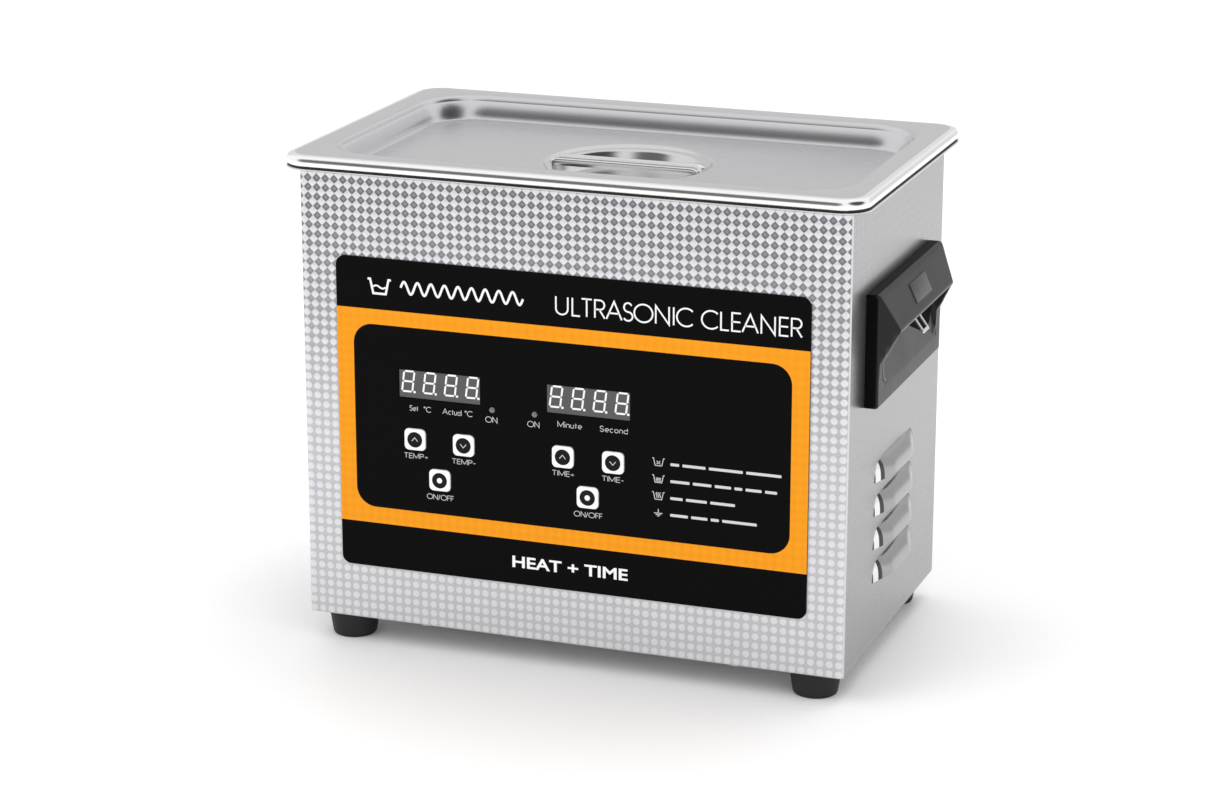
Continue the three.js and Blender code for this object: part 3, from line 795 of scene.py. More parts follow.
    def letters(self, words: str, box: tuple[float, float, float, float], y0: float, y1: float,
                weight: float = 0.0) -> "Shape":
        """Adds lettering that faces the front, fitted to a box.

        Args:
            words: The lettering.
            box: Left, right, foot and top of the letters.
            y0: Their front.
            y1: Their back.
            weight: How much fatter than plain the letters are, in their own units.

        Returns:
            This shape.
        """
        curve = bpy.data.curves.new("letters", "FONT")
        curve.body = words
        curve.offset = weight
        curve.extrude = 0.01
        curve.resolution_u = 3
        holder = bpy.data.objects.new("letters", curve)
        bpy.context.scene.collection.objects.link(holder)
        seen = holder.evaluated_get(bpy.context.evaluated_depsgraph_get())
        mesh = bpy.data.meshes.new_from_object(seen)
        spots = [v.co.copy() for v in mesh.vertices]
        low = [min(s[i] for s in spots) for i in range(2)]
        high = [max(s[i] for s in spots) for i in range(2)]
        left, right, foot, top = box
        start = len(self.points)
        for spot in spots:
            self.points.append((
                left + (spot[0] - low[0]) / (high[0] - low[0]) * (right - left),
                y0 if spot[2] > 0 else y1,
                foot + (spot[1] - low[1]) / (high[1] - low[1]) * (top - foot),
            ))
        for polygon in mesh.polygons:
            self.face(*(start + v for v in polygon.vertices))
        bpy.data.objects.remove(holder)
        bpy.data.meshes.remove(mesh)
        bpy.data.curves.remove(curve)
        return self

    def moved(self, matrix: Matrix) -> "Shape":
        """A copy of this shape, moved.

        Args:
            matrix: The move, in millimetres.

        Returns:
            The copy.
        """
        made = Shape()
        made.points = [tuple(matrix @ Vector(p)) for p in self.points]
        made.faces = list(self.faces)
        made.finishes = list(self.finishes)
        return made

    def joined(self, other: "Shape") -> "Shape":
        """Takes in another shape.

        Args:
            other: The other shape.

        Returns:
            This shape.
        """
        start = len(self.points)
        self.points.extend(other.points)
        self.faces.extend(tuple(start + i for i in f) for f in other.faces)
        self.finishes.extend(other.finishes)
        return self

    def mesh(self, name: str, smooth: float, closed: bool) -> bpy.types.Mesh:
        """Makes the mesh, in metres.

        Args:
            name: The mesh's name.
            smooth: The angle in degrees under which an edge is shaded soft.
            closed: Whether the shape is made of closed skins, whose faces are turned outwards.

        Returns:
            The mesh.
        """
        made = bpy.data.meshes.new(name)
        made.from_pydata([tuple(c * MM for c in p) for p in self.points], [], self.faces)
        made.polygons.foreach_set("material_index", self.finishes)
        tidy_mesh(made, smooth, closed)
        return made


def tidy_mesh(mesh: bpy.types.Mesh, smooth: float, closed: bool) -> None:
    """Joins doubled points, drops loose ones, turns faces outwards and sets soft and sharp edges.

    Args:
        mesh: The mesh.
        smooth: The angle in degrees under which an edge is shaded soft.
        closed: Whether its skins are closed.
    """
    work = bmesh.new()
    work.from_mesh(mesh)
    bmesh.ops.remove_doubles(work, verts=work.verts, dist=0.00000015)
    if closed:
        bmesh.ops.recalc_face_normals(work, faces=work.faces)
    loose = [v for v in work.verts if not v.link_faces]
    bmesh.ops.delete(work, geom=loose, context="VERTS")
    work.to_mesh(mesh)
    work.free()
    mesh.polygons.foreach_set("use_smooth", [True] * len(mesh.polygons))
    mesh.set_sharp_from_angle(angle=math.radians(smooth))
    mesh.update()


class Workshop:
    """Places pieces in the frame and keeps one material for each finish."""

    def __init__(self, frame: Mapping[str, object]) -> None:
        """Starts with no piece.

        Args:
            frame: What loading the frame gave.
        """
        self.nodes: Mapping[str, bpy.types.Object] = frame["nodes"]
        record = frame["record"]
        self.slots = {part["node"]: part["material_slot"] for part in record["subparts"]}
        self.made: dict[Finish, bpy.types.Material] = {}
        self.count = 0

    def material(self, finish: Finish) -> bpy.types.Material:
        """The material of a finish, made once."""
        if finish not in self.made:
            self.made[finish] = finish.material()
        return self.made[finish]

    def place(self, shape: Shape, name: str, body: str, slot: str, *finishes: Finish,
              replaces: Sequence[str] = (), smooth: float = 35.0, closed: bool = True,
              bevel: float = 0.0) -> bpy.types.Object:
        """Makes a piece from a shape."""
        return self.finish(shape.mesh(name, smooth, closed), name, body, slot, finishes, replaces, bevel)

    def finish(self, mesh: bpy.types.Mesh, name: str, body: str, slot: str, finishes: Sequence[Finish],
               replaces: Sequence[str], bevel: float) -> bpy.types.Object:
        """Makes a piece from a mesh.

        Args:
            mesh: The mesh, in metres.
            name: The piece's name.
            body: The body it moves with.
            slot: The record's material slot for it; not used.
            finishes: Its finishes.
            replaces: The nodes it stands for.
            bevel: The width of its broken edges in millimetres, or 0 for none.

        Returns:
            The piece.
        """
        for finish in finishes:
            mesh.materials.append(self.material(finish))
        piece = bpy.data.objects.new(name, mesh)
        bpy.context.scene.collection.objects.link(piece)
        if bevel:
            edge = piece.modifiers.new("broken edges", "BEVEL")
            edge.width = bevel * MM
            edge.segments = 2
            edge.limit_method = "ANGLE"
            edge.angle_limit = math.radians(38)
            edge.harden_normals = True
        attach(piece, body)
        if replaces:
            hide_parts(*replaces)
        self.count += 1
        LOG.info("%s rides on %s", name, body)
        return piece

    def refine(self, node: str, body: str, *finishes: Finish, bevel: float = 0.3,
               smooth: float = 40.0) -> bpy.types.Object:
        """Stands a copy with broken edges in for a node.

        Args:
            node: The node.
            body: The body it moves with.
            finishes: Its finish.
            bevel: The width of its broken edges in millimetres, or 0 for none.
            smooth: The angle in degrees under which an edge is shaded soft.

        Returns:
            The piece.
        """
        mesh = self.nodes[node].data.copy()
        mesh.name = node + "_detailed"
        mesh.materials.clear()
        if "custom_normal" in mesh.attributes:
            mesh.attributes.remove(mesh.attributes["custom_normal"])
        tidy_mesh(mesh, smooth, True)
        work = bmesh.new()
        work.from_mesh(mesh)
        bmesh.ops.dissolve_limit(work, angle_limit=math.radians(1.0), verts=work.verts, edges=work.edges)
        work.to_mesh(mesh)
        work.free()
        mesh.update()
        return self.finish(mesh, node + "_detailed", body, self.slots[node], finishes, (node,), bevel)

    def dress(self, finish: Finish, *nodes: str) -> None:
        """Gives nodes a finish and leaves their shape as it is.

        Args:
            finish: The finish.
            nodes: The nodes.
        """
        for node in nodes:
            mesh = self.nodes[node].data
            mesh.materials.clear()
            mesh.materials.append(self.material(finish))
            self.count += 1
            LOG.info("%s is finished in %s", node, finish.name)


# ---------------------------------------------------------------- the cleaner's finishes
FRONT_SHEET = Embossed("embossed_front_sheet")
# The sides use the front's stainless painted much darker: painted shade on sides that face away from the
# light.
SIDE_SHEET_PAINTED_SHADE = Embossed(
    "embossed_side_sheet", axis=Axis.Y, origin=-75.0, pitch=150 / 36, pad=(0.34, 0.34),
    painted_ground_shade=(0.335, 0.33),
    warmth=-0.03, roughness=0.28, coarser=0.0,
)
FOLD_STEEL = Metal("folded_edge_steel", grey(0.66), 0.26, Grain.ALONG_Z)
# Painted shade: the louvres' steel is painted as dark as the sides.
LOUVRE_STEEL_PAINTED_SHADE = Metal("louvre_steel_painted_shade", grey(0.36), 0.24, Grain.ALONG_Y)
REAR_STEEL = Metal("rear_panel_steel", grey(0.52), 0.36, Grain.ALONG_X)
LID_SATIN = Metal("lid_satin_steel", (0.62, 0.62, 0.635), 0.27, Grain.ALONG_X, 0.06, 0.001, 0.04)
# Painted highlight: the lid's steel made near white and glossier for the rolled edge.
LID_ROLLED_PAINTED_HIGHLIGHT = Metal("lid_rolled_edge_steel", grey(0.96), 0.16, Grain.ALONG_X, 0.04, 0.001, 0.02)
DISH_STEEL = Metal("lid_dish_steel", (0.64, 0.64, 0.65), 0.2, Grain.CLOUDY, 0.05, 0.001, 0.04)
TANK_STEEL = Metal("tank_drawn_steel", grey(0.62), 0.24, Grain.ALONG_Z)
POLISHED = Metal("polished_steel", grey(0.80), 0.1, Grain.CLOUDY, 0.04, 0.0005, 0.02)
WIRE_STEEL = Metal("basket_wire_steel", grey(0.70), 0.2, Grain.CLOUDY)
ZINC = Metal("zinc_plate", (0.56, 0.57, 0.56), 0.38, Grain.CLOUDY, 0.2, 0.003, 0.16)
ALUMINIUM = Metal("turned_aluminium", (0.62, 0.63, 0.64), 0.38, Grain.ALONG_Z, 0.16)
BRASS = Metal("brass", (0.62, 0.43, 0.16), 0.28, Grain.CLOUDY)
COPPER = Metal("varnished_copper", (0.56, 0.22, 0.09), 0.3, Grain.ALONG_X, 0.3, 0.02)
RUBBER = Moulded("foot_rubber", grey(0.012), 0.62, 0.5, 0.01, 0.2, 0.35)
SEAL_RUBBER = Moulded("seal_rubber", grey(0.02), 0.7, 0.5, 0.01, 0.2, 0.3)
HANDLE_PLASTIC = Moulded("handle_plastic", grey(0.013), 0.36, 0.3, 0.003, 0.10, 0.2)
# Painted shade: the handle's plastic made darker and less glossy for its rim.
HANDLE_RIM_PAINTED_SHADE = Moulded("handle_rim_painted_shade", grey(0.003), 0.42, 0.3, 0.003, 0.10, 0.05)
# Painted highlight: light grey plastic for thin beads that stand in for glints on the handle's edges.
HANDLE_EDGE_PAINTED_GLINT = Moulded("handle_edge_painted_glint", grey(0.22), 0.3, 0.3, 0.001, 0.05, 0.4)
BADGE_PLASTIC = Moulded("handle_plate_plastic", grey(0.024), 0.3, 0.3, 0.002, 0.08, 0.24)
# Painted dark reflection: near-black steel for bands on the louvres' round ends.
LOUVRE_PAINTED_DARK_REFLECTION = Metal("louvre_shaded_steel", grey(0.05), 0.2, Grain.CLOUDY)
BLACK_PLASTIC = Moulded("black_plastic", grey(0.014), 0.42, 0.35, 0.008)
FAN_PLASTIC = Moulded("fan_plastic", grey(0.02), 0.5, 0.4, 0.008)
SLOT_SHADOW = Moulded("slot_shadow", grey(0.006), 0.9, 0.6, 0.01, 0.3, 0.05)
LABEL_BLACK = Film("label_black_film", grey(0.0026), 0.08, 0.42, 0.004, 0.045)
LABEL_ORANGE = Film("label_orange_film", (0.88, 0.318, 0.011), 0.10, 0.5, 0.012, 0.1)
PRINT_WHITE = Moulded("white_print", grey(0.88), 0.5, 0.4, 0.001, 0.03, 0.1)
PRINT_GREY = Moulded("grey_print", grey(0.62), 0.5, 0.4, 0.001, 0.04, 0.1)
KEY_WHITE = Moulded("key_white_plastic", grey(0.9), 0.38, 0.3, 0.003, 0.02, 0.4)
KEY_INK = Moulded("key_ink", (0.0085, 0.009, 0.011), 0.5, 0.4, 0.002, 0.1, 0.1)
WINDOW_GREY = Moulded("display_window", grey(0.098), 0.22, 0.5, 0.001, 0.06, 0.12)
DIGIT_WHITE = Moulded("digit_segments", grey(0.9), 0.4, 0.4, 0.001, 0.02, 0.1)
LAMP_GREY = Moulded("lamp_dome", grey(0.15), 0.16, 0.5, 0.001, 0.1, 0.5, 0.6)
CERAMIC = Moulded("fired_ceramic", (0.78, 0.72, 0.62), 0.5, 0.4, 0.01)
SILICONE = Moulded("heater_silicone", (0.55, 0.13, 0.03), 0.55, 1.2, 0.05, 0.15)
RIBBON_GREY = Moulded("ribbon_sleeve", grey(0.4), 0.5, 0.4, 0.004)
RELAY_BLUE = Moulded("relay_case", (0.02, 0.10, 0.35), 0.35, 0.3, 0.004)
PLATE_SILVER = Moulded("rating_plate_film", grey(0.60), 0.4, 0.4, 0.002, 0.05, 0.3)
FUSE_GLASS = Clear("fuse_glass")
CIRCUIT = Board("circuit_board")


# ---------------------------------------------------------------- housing
@dataclass
class Housing:
    """The folded, embossed case with its louvres, base and rear panel."""

    half_x: float = 125.0
    half_y: float = 75.0
    fold: float = 1.6
    bottom: float = 12.0
    top: float = 217.0
    columns: int = 60
    side_columns: int = 36
    rows: int = 49
    samples: int = 4
    pad_height: float = 0.13
    side_pad_height: float = 0.02
    sharpness: float = 2.2
    rear_return: float = 12.0
    label_cover: tuple[float, float, float] = (106.0, 40.0, 177.0)
    louvre_tops: tuple[float, ...] = (95.8, 80.5, 65.2, 49.9)
    louvre_drop: float = 8.6
    louvre_out: float = 4.8
    louvre_flat: float = 14.0
    louvre_full: float = 25.0
    louvre_half: float = 32.0
    louvre_steps: int = 48
    lip: tuple[Flat, ...] = ((1.2, 12.0), (0.7, 12.0), (0.2, 12.2), (0.0, 12.8))

    def _relief(self, column: float, row: float) -> float:
        """The lattice's height at a place."""
        wave = -(math.cos(TAU * column) + math.cos(TAU * row)) / 2
        return math.tanh(self.sharpness * wave) / math.tanh(self.sharpness)

    def _levels(self) -> list[tuple[float, float, float]]:
        """Rows of the sheet: how far each is turned in, its height, and the relief's strength there."""
        rise = (self.top - self.bottom) / self.rows
        levels = [(inset, z, 0.0) for inset, z in self.lip]
        for step in range(1, self.rows * self.samples + 1):
            z = self.bottom + step * rise / self.samples
            if z > self.lip[-1][1] + 0.1:
                edge = min(z - 13.0, self.top - z)
                levels.append((0.0, z, max(0.0, min(1.0, edge / 2))))
        return levels

    def _sheet(self, stations: Sequence[tuple[Flat, Flat, float, float]], height: float,
               covered: bool, arcs: tuple[int, int]) -> Shape:
        """A pressed sheet through plan stations.

        Args:
            stations: Each one's place, outward direction, place in pads and relief strength.
            height: The pads' height.
            covered: Whether the part under the label is left out.
            arcs: How many stations at the start and at the end belong to folds.

        Returns:
            The sheet.
        """
        shape = Shape()
        rise = (self.top - self.bottom) / self.rows
        levels = self._levels()
        for inset, z, strength in levels:
            for (x, y), (nx, ny), column, station_strength in stations:
                out = (height * strength * station_strength
                       * self._relief(column, (z - self.bottom) / rise))
                shape.points.append((x + nx * (out - inset), y + ny * (out - inset), z))
        count = len(stations)
        half, low, high = self.label_cover
        for k in range(len(levels) - 1):
            for i in range(count - 1):
                x = (stations[i][0][0] + stations[i + 1][0][0]) / 2
                z = (levels[k][1] + levels[k + 1][1]) / 2
                if covered and abs(x) < half and low < z < high:
                    continue
                shape.finish = 1 if i < arcs[0] or i >= count - 1 - arcs[1] else 0
                base = k * count + i
                shape.face(base, base + 1, base + count + 1, base + count)
        return shape

    def _arc(self, sx: float, sy: float, first: float) -> list[tuple[Flat, Flat, float, float]]:
        """Stations round one of the case's upright folds.

        Args:
            sx: The corner's sign along X.
            sy: The corner's sign along Y.
            first: The angle that the arc starts at, in quarter turns.

        Returns:
            Five stations, a quarter turn in all.
        """
        made = []
        for step in range(5):
            angle = (first + step / 4) * math.pi / 2
            out = (math.cos(angle), math.sin(angle))
            x = sx * (self.half_x - self.fold) + self.fold * out[0]
            y = sy * (self.half_y - self.fold) + self.fold * out[1]
            made.append(((x, y), out, 0.0, 0.0))
        return made

    def front(self) -> Shape:
        """The front of the case with both front folds."""
        pitch = 2 * self.half_x / self.columns
        flat = []
        for step in range(self.columns * self.samples + 1):
            x = -self.half_x + step * pitch / self.samples
            edge = self.half_x - self.fold - abs(x)
            if edge > 0.2:
                column = step / self.samples
                flat.append(((x, -self.half_y), (0.0, -1.0), column, min(1.0, edge / 2)))
        stations = [*self._arc(-1, -1, 2.0), *flat, *self._arc(1, -1, 3.0)]
        return self._sheet(stations, self.pad_height, True, (2, 2))

    def side(self) -> Shape:
        """The right side of the case with its rear fold and return."""
        pitch = 2 * self.half_y / self.side_columns
        flat = []
        for step in range(self.side_columns * self.samples + 1):
            y = -self.half_y + step * pitch / self.samples
            edge = self.half_y - self.fold - abs(y)
            if edge > -0.01:
                column = step / self.samples
                flat.append(((self.half_x, y), (1.0, 0.0), column, max(0.0, min(1.0, edge / 2))))
        start = ((self.half_x, -self.half_y + self.fold), (1.0, 0.0), 0.0, 0.0)
        inner = self.half_x - self.rear_return
        back = [((x, y), (0.0, 1.0), 0.0, 0.0) for x, y in
                ((inner + 0.4, self.half_y), (inner, self.half_y - 0.4), (inner, self.half_y - 1.0))]
        stations = [start, *flat, *self._arc(1, 1, 0.0), *back]
        return self._sheet(stations, self.side_pad_height, False, (0, 2 + len(back)))

    def louvre(self, top: float) -> Shape:
        """One pressed louvre of the right side, with closed round ends and an open foot."""
        bottom = top - self.louvre_drop
        outside = [(0.0, 1.0), (0.10, 0.97), (0.34, 0.88), (0.60, 0.75), (0.82, 0.57), (0.95, 0.36),
                   (1.0, 0.14), (1.0, 0.0)]
        sheet = 0.9
        shape = Shape()
        sections = []
        for step in range(self.louvre_steps + 1):
            angle = math.pi * (step / self.louvre_steps - 0.5)
            y = math.copysign(abs(math.sin(angle)) ** 0.6, angle) * self.louvre_half
            taper = max(0.0, (abs(y) - self.louvre_flat) / (self.louvre_half - self.louvre_flat))
            close = max(0.0, (abs(y) - self.louvre_full) / (self.louvre_half - self.louvre_full))
            reach = self.louvre_out * max(0.03, 1 - taper ** 1.15)
            height = self.louvre_drop * max(0.06, math.sqrt(max(0.0, 1 - close * close)))
            outer = [(self.half_x + out * reach, bottom + up * height) for out, up in outside]
            thin = sheet * reach / self.louvre_out
            inner = [(max(self.half_x - 0.3, x - thin), max(bottom, z - thin)) for x, z in outer]
            inner[-1] = (outer[-1][0] - thin, bottom)
            ring = [*outer, *reversed(inner)]
            sections.append([(x, y, z) for x, z in ring])
        shape.loft(sections)
        count = len(sections[0])
        # The round ends are painted with reflections: a light band in polished steel between dark bands
        # of painted dark reflection.
        for index in range(len(shape.faces) - 2):
            section = sections[index // count]
            y = abs(section[0][1])
            if y > self.louvre_half - 0.9 or self.louvre_full - 0.5 < y < self.louvre_full + 2.5:
                shape.finishes[index] = 2
            elif y > self.louvre_full:
                shape.finishes[index] = 1
        return shape

    def build(self, shop: Workshop) -> None:
        """Makes the case.

        Args:
            shop: Where the pieces go.
        """
        shop.place(self.front(), "housing_front_sheet", "housing", "housing_steel", FRONT_SHEET,
                   FOLD_STEEL,
                   replaces=("housing_shell",), smooth=60, closed=False)
        for side in Side:
            mirror = Matrix.Diagonal((side.value, 1, 1, 1))
            skin = self.side().moved(mirror)
            hoods = Shape()
            slots = Shape()
            for top in self.louvre_tops:
                hoods.joined(self.louvre(top).moved(mirror))
                foot = top - self.louvre_drop
                # A near-black block behind the louvre's foot: painted shadow in its opening.
                x = sorted((side.value * (self.half_x - 0.2), side.value * (self.half_x + 0.12)))
                slots.block((x[0], -24.0, foot + 0.1), (x[1], 24.0, foot + 3.5))
            if side is Side.LEFT:
                skin.faces = [tuple(reversed(f)) for f in skin.faces]
            shop.place(skin, f"housing_{side.word}_sheet", "housing", "housing_steel", SIDE_SHEET_PAINTED_SHADE,
                       FOLD_STEEL,
                       smooth=60, closed=False)
            # On the louvres, polished steel is a painted highlight on their ends, and the last finish a
            # painted dark reflection.
            shop.place(hoods, f"louvres_{side.word}", "housing", "housing_steel", LOUVRE_STEEL_PAINTED_SHADE, POLISHED,
                       LOUVRE_PAINTED_DARK_REFLECTION, smooth=50)
            shop.place(slots, f"louvre_slot_shadows_{side.word}", "housing", "housing_steel", SLOT_SHADOW)
        shop.refine("rear_panel", "housing", REAR_STEEL, bevel=0.2)
        shop.dress(ZINC, "base_plate")
        heads = Shape()
        # The dark blocks across each head are painted shadow standing in for its cross slot.
        slots = Shape()
        for x, y in ((-70, -70), (75, -70), (-70, 70), (75, 70)):
            heads.turned([(0.02, 10.3), (1.6, 10.4), (2.6, 10.9), (2.9, 11.6), (2.9, 12.0), (0.02, 12.0)],
                         (x, y, 0), steps=20)
            slots.block((x - 1.7, y - 0.25, 10.24), (x + 1.7, y + 0.25, 10.5))
            slots.block((x - 0.25, y - 1.7, 10.24), (x + 0.25, y + 1.7, 10.5))
        for x, z in [(s * 118.6, z) for s in (-1, 1) for z in (28.0, 114.0, 204.0)]:
            heads.turned([(0.02, 76.9), (1.6, 76.8), (2.7, 76.3), (3.1, 75.5), (3.1, 75.0), (0.02, 75.0)],
                         (x, 0, z), Axis.Y, steps=20)
            slots.block((x - 1.8, 76.6, z - 0.28), (x + 1.8, 76.96, z + 0.28))
            slots.block((x - 0.28, 76.6, z - 1.8), (x + 0.28, 76.96, z + 1.8))
        shop.place(heads, "case_screws", "housing", "zinc_steel", ZINC, smooth=40)
        shop.place(slots, "case_screw_slot_shadows", "housing", "zinc_steel", SLOT_SHADOW)


@dataclass
class Feet:
    """Four tapered rubber feet, each on one screw."""

    x: float = 109.0
    y: float = 62.0
    profile: tuple[Flat, ...] = (
        (4.6, 5.0), (4.6, 0.0), (8.7, 0.0), (9.4, 0.25), (9.8, 0.9), (10.3, 3.6), (11.0, 8.4),
        (11.5, 10.9), (11.6, 11.5), (11.3, 12.0), (2.3, 12.0), (2.3, 5.0),
    )

    def build(self, shop: Workshop) -> None:
        """Makes the feet.

        Args:
            shop: Where the pieces go.
        """
        for side in Side:
            for end, sy in (("front", -1), ("rear", 1)):
                shape = Shape().turned(self.profile, (side.value * self.x, sy * self.y, 0), steps=48,
                                       loop=True)
                shop.place(shape, f"rubber_foot_{end}_{side.word}", "housing", "rubber", RUBBER,
                           replaces=(f"foot_{end}_{side.word}",), smooth=40)
                shop.dress(ZINC, f"foot_screw_{end}_{side.word}")


# ---------------------------------------------------------------- tank, lid and basket
Press = tuple[float, float, float, float]


def pressed(rings: Sequence[Press], corner: int, long: int = 1, short: int = 1) -> list[Ring]:
    """Rings of a pressed pan."""
    return [level(rounded(hx, hy, r, corner, long, short), z) for hx, hy, r, z in rings]


@dataclass
class Tank:
    """The drawn tank with its flange, and the seal that the lid rests on."""

    inside: tuple[Press, ...] = (
        (105.0, 53.0, 8.0, 117.0), (111.0, 59.0, 13.0, 117.25), (114.6, 62.6, 16.5, 118.4),
        (117.0, 65.0, 18.6, 121.0), (118.1, 66.1, 19.8, 125.0), (119.3, 67.6, 21.0, 170.0),
        (120.4, 68.9, 22.0, 214.6), (120.7, 69.2, 22.2, 216.6), (121.5, 70.0, 22.8, 217.7),
        (122.7, 71.2, 23.6, 218.0),
    )
    flange: tuple[Press, ...] = (
        (131.6, 81.6, 11.6, 218.0), (132.0, 82.0, 12.0, 217.75), (132.0, 82.0, 12.0, 217.25),
        (131.6, 81.6, 11.6, 217.0),
    )
    outside: tuple[Press, ...] = (
        (123.1, 71.6, 24.4, 217.0), (121.6, 70.1, 23.1, 215.2), (119.3, 67.3, 21.0, 125.0),
        (117.6, 65.6, 19.4, 120.0), (113.5, 61.5, 15.6, 117.0), (109.0, 57.0, 12.0, 116.0),
    )

    def build(self, shop: Workshop) -> None:
        """Makes the tank.

        Args:
            shop: Where the pieces go.
        """
        shape = Shape().loft(pressed((*self.inside, *self.flange, *self.outside), 12))
        shop.place(shape, "tank_drawn_shell", "housing", "satin_steel", TANK_STEEL, replaces=("tank",),
                   smooth=50)
        shop.refine("tank_seal", "housing", SEAL_RUBBER, bevel=0.15)


@dataclass
class Lid:
    """The lift-off pan lid with its finger dish and bar."""

    tray: tuple[Press, ...] = (
        (111.4, 61.0, 18.0, 213.0), (112.6, 62.2, 19.2, 213.15), (113.8, 63.4, 20.4, 213.9),
        (115.2, 64.8, 21.6, 216.2), (117.2, 66.8, 23.4, 221.0), (118.1, 67.7, 24.2, 222.6),
        (119.2, 68.8, 25.3, 223.35), (120.6, 70.2, 26.4, 223.5), (128.2, 78.7, 9.0, 223.5),
    )
    rolled: tuple[Press, ...] = (
        (129.4, 79.9, 10.1, 223.44), (130.5, 81.0, 11.0, 223.15), (131.3, 81.8, 11.8, 222.6),
        (131.8, 82.3, 12.3, 221.8), (132.0, 82.5, 12.5, 220.9), (131.95, 82.45, 12.45, 219.8),
        (131.6, 82.1, 12.1, 219.05), (131.1, 81.6, 11.6, 218.8), (130.7, 81.2, 11.2, 219.2),
    )
    under: tuple[Press, ...] = (
        (131.2, 81.7, 11.7, 220.9), (130.5, 81.0, 11.0, 222.2), (129.0, 79.5, 9.5, 222.7),
        (120.6, 70.2, 26.4, 222.7), (118.8, 68.4, 24.9, 222.1), (116.3, 65.9, 22.6, 220.6),
        (114.2, 63.8, 20.7, 215.8), (113.0, 62.6, 19.6, 213.0), (111.4, 61.0, 18.0, 212.2),
    )
    dish: tuple[Flat, ...] = (
        (38.5, 213.0), (37.8, 212.9), (37.0, 212.4), (36.3, 211.8), (35.4, 211.6), (34.0, 211.6),
        (33.2, 211.3), (32.6, 210.2), (31.6, 206.6), (30.7, 205.1), (29.2, 204.35), (27.0, 204.2),
        (14.0, 204.2), (0.4, 204.2),
    )
    sheet: float = 0.8
    corner: int = 8
    long: int = 32
    short: int = 16

    def pan(self) -> Shape:
        """The whole pan: 0 is satin, 1 the rolled edge, painted lighter than the satin as a highlight,
        and 2 the dish.
        """
        corner, long, short = self.corner, self.long, self.short
        shape = Shape()
        floor = rounded(self.tray[0][0], self.tray[0][1], self.tray[0][2], corner, long, short)
        angles = [math.atan2(y, x) for x, y in floor]
        circle = {}
        for side, drop in (("top", 0.0), ("under", self.sheet)):
            circle[side] = [[(r * math.cos(a), r * math.sin(a), z - drop) for a in angles]
                            for r, z in self.dish]
        top = [*reversed(circle["top"]), *pressed((*self.tray, *self.rolled), corner, long, short)]
        below = [*pressed(self.under, corner, long, short), *circle["under"]]
        shape.loft([*top, *below])
        count = len(floor)
        dish, tray, rolled = len(self.dish), len(self.tray), len(self.rolled)
        for index in range(len(shape.faces) - 2):
            band = index // count
            if band < dish - 1:
                shape.finishes[index] = 2
            # The rolled edge's bands get the near-white finish: painted highlight.
            elif dish + tray - 1 <= band < dish + tray + rolled:
                shape.finishes[index] = 1
        return shape

    def bar(self) -> Shape:
        """The bar across the dish: a channel with turned-down lips and flattened ends."""
        stations = [(35.2, 0.0), (34.4, 0.0), (33.8, 0.1), (33.1, 0.45), (32.3, 0.85), (31.2, 1.0),
                    (24.0, 1.0)]
        spots = [(-x, up) for x, up in stations] + [(0.0, 1.0)] + list(reversed(stations))
        rings = []
        for x, up in spots:
            half = 5.5 - max(0.0, abs(x) - 34.3) * 1.4
            foot = 211.62 + up * 0.85
            lip = foot - up * 2.0
            crown = foot + 1.1
            edge = min(lip, foot)
            rings.append([
                (x, -half, edge), (x, -half, crown - 0.5), (x, -half + 0.15, crown - 0.15),
                (x, -half + 0.5, crown), (x, -half + 1.6, crown), (x, -half + 2.0, crown - 0.25),
                (x, half - 2.0, crown - 0.25), (x, half - 1.6, crown), (x, half - 0.5, crown),
                (x, half - 0.15, crown - 0.15), (x, half, crown - 0.5), (x, half, edge),
                (x, half - 0.9, edge), (x, half - 0.9, foot - 0.05 * up),
                (x, -half + 0.9, foot - 0.05 * up), (x, -half + 0.9, edge),
            ])
        return Shape().loft(rings)

    def build(self, shop: Workshop) -> None:
        """Makes the lid.

        Args:
            shop: Where the pieces go.
        """
        shop.place(self.pan(), "lid_pressed_pan", "lid", "satin_steel", LID_SATIN, LID_ROLLED_PAINTED_HIGHLIGHT, DISH_STEEL,
                   replaces=("lid_pan",), smooth=60)
        shop.place(self.bar(), "lid_bar_polished", "lid", "polished_steel", POLISHED,
                   replaces=("lid_handle_bar",), smooth=50)
        welds = Shape()
        for x, y in [(s * 34.2, t * 2.6) for s in (-1, 1) for t in (-1, 1)]:
            welds.turned([(0.02, 212.86), (0.6, 212.86), (1.0, 212.78), (1.15, 212.6),
                          (0.02, 212.6)], (x, y, 0), steps=16)
        shop.place(welds, "lid_bar_spot_welds", "lid", "polished_steel", POLISHED, smooth=60)


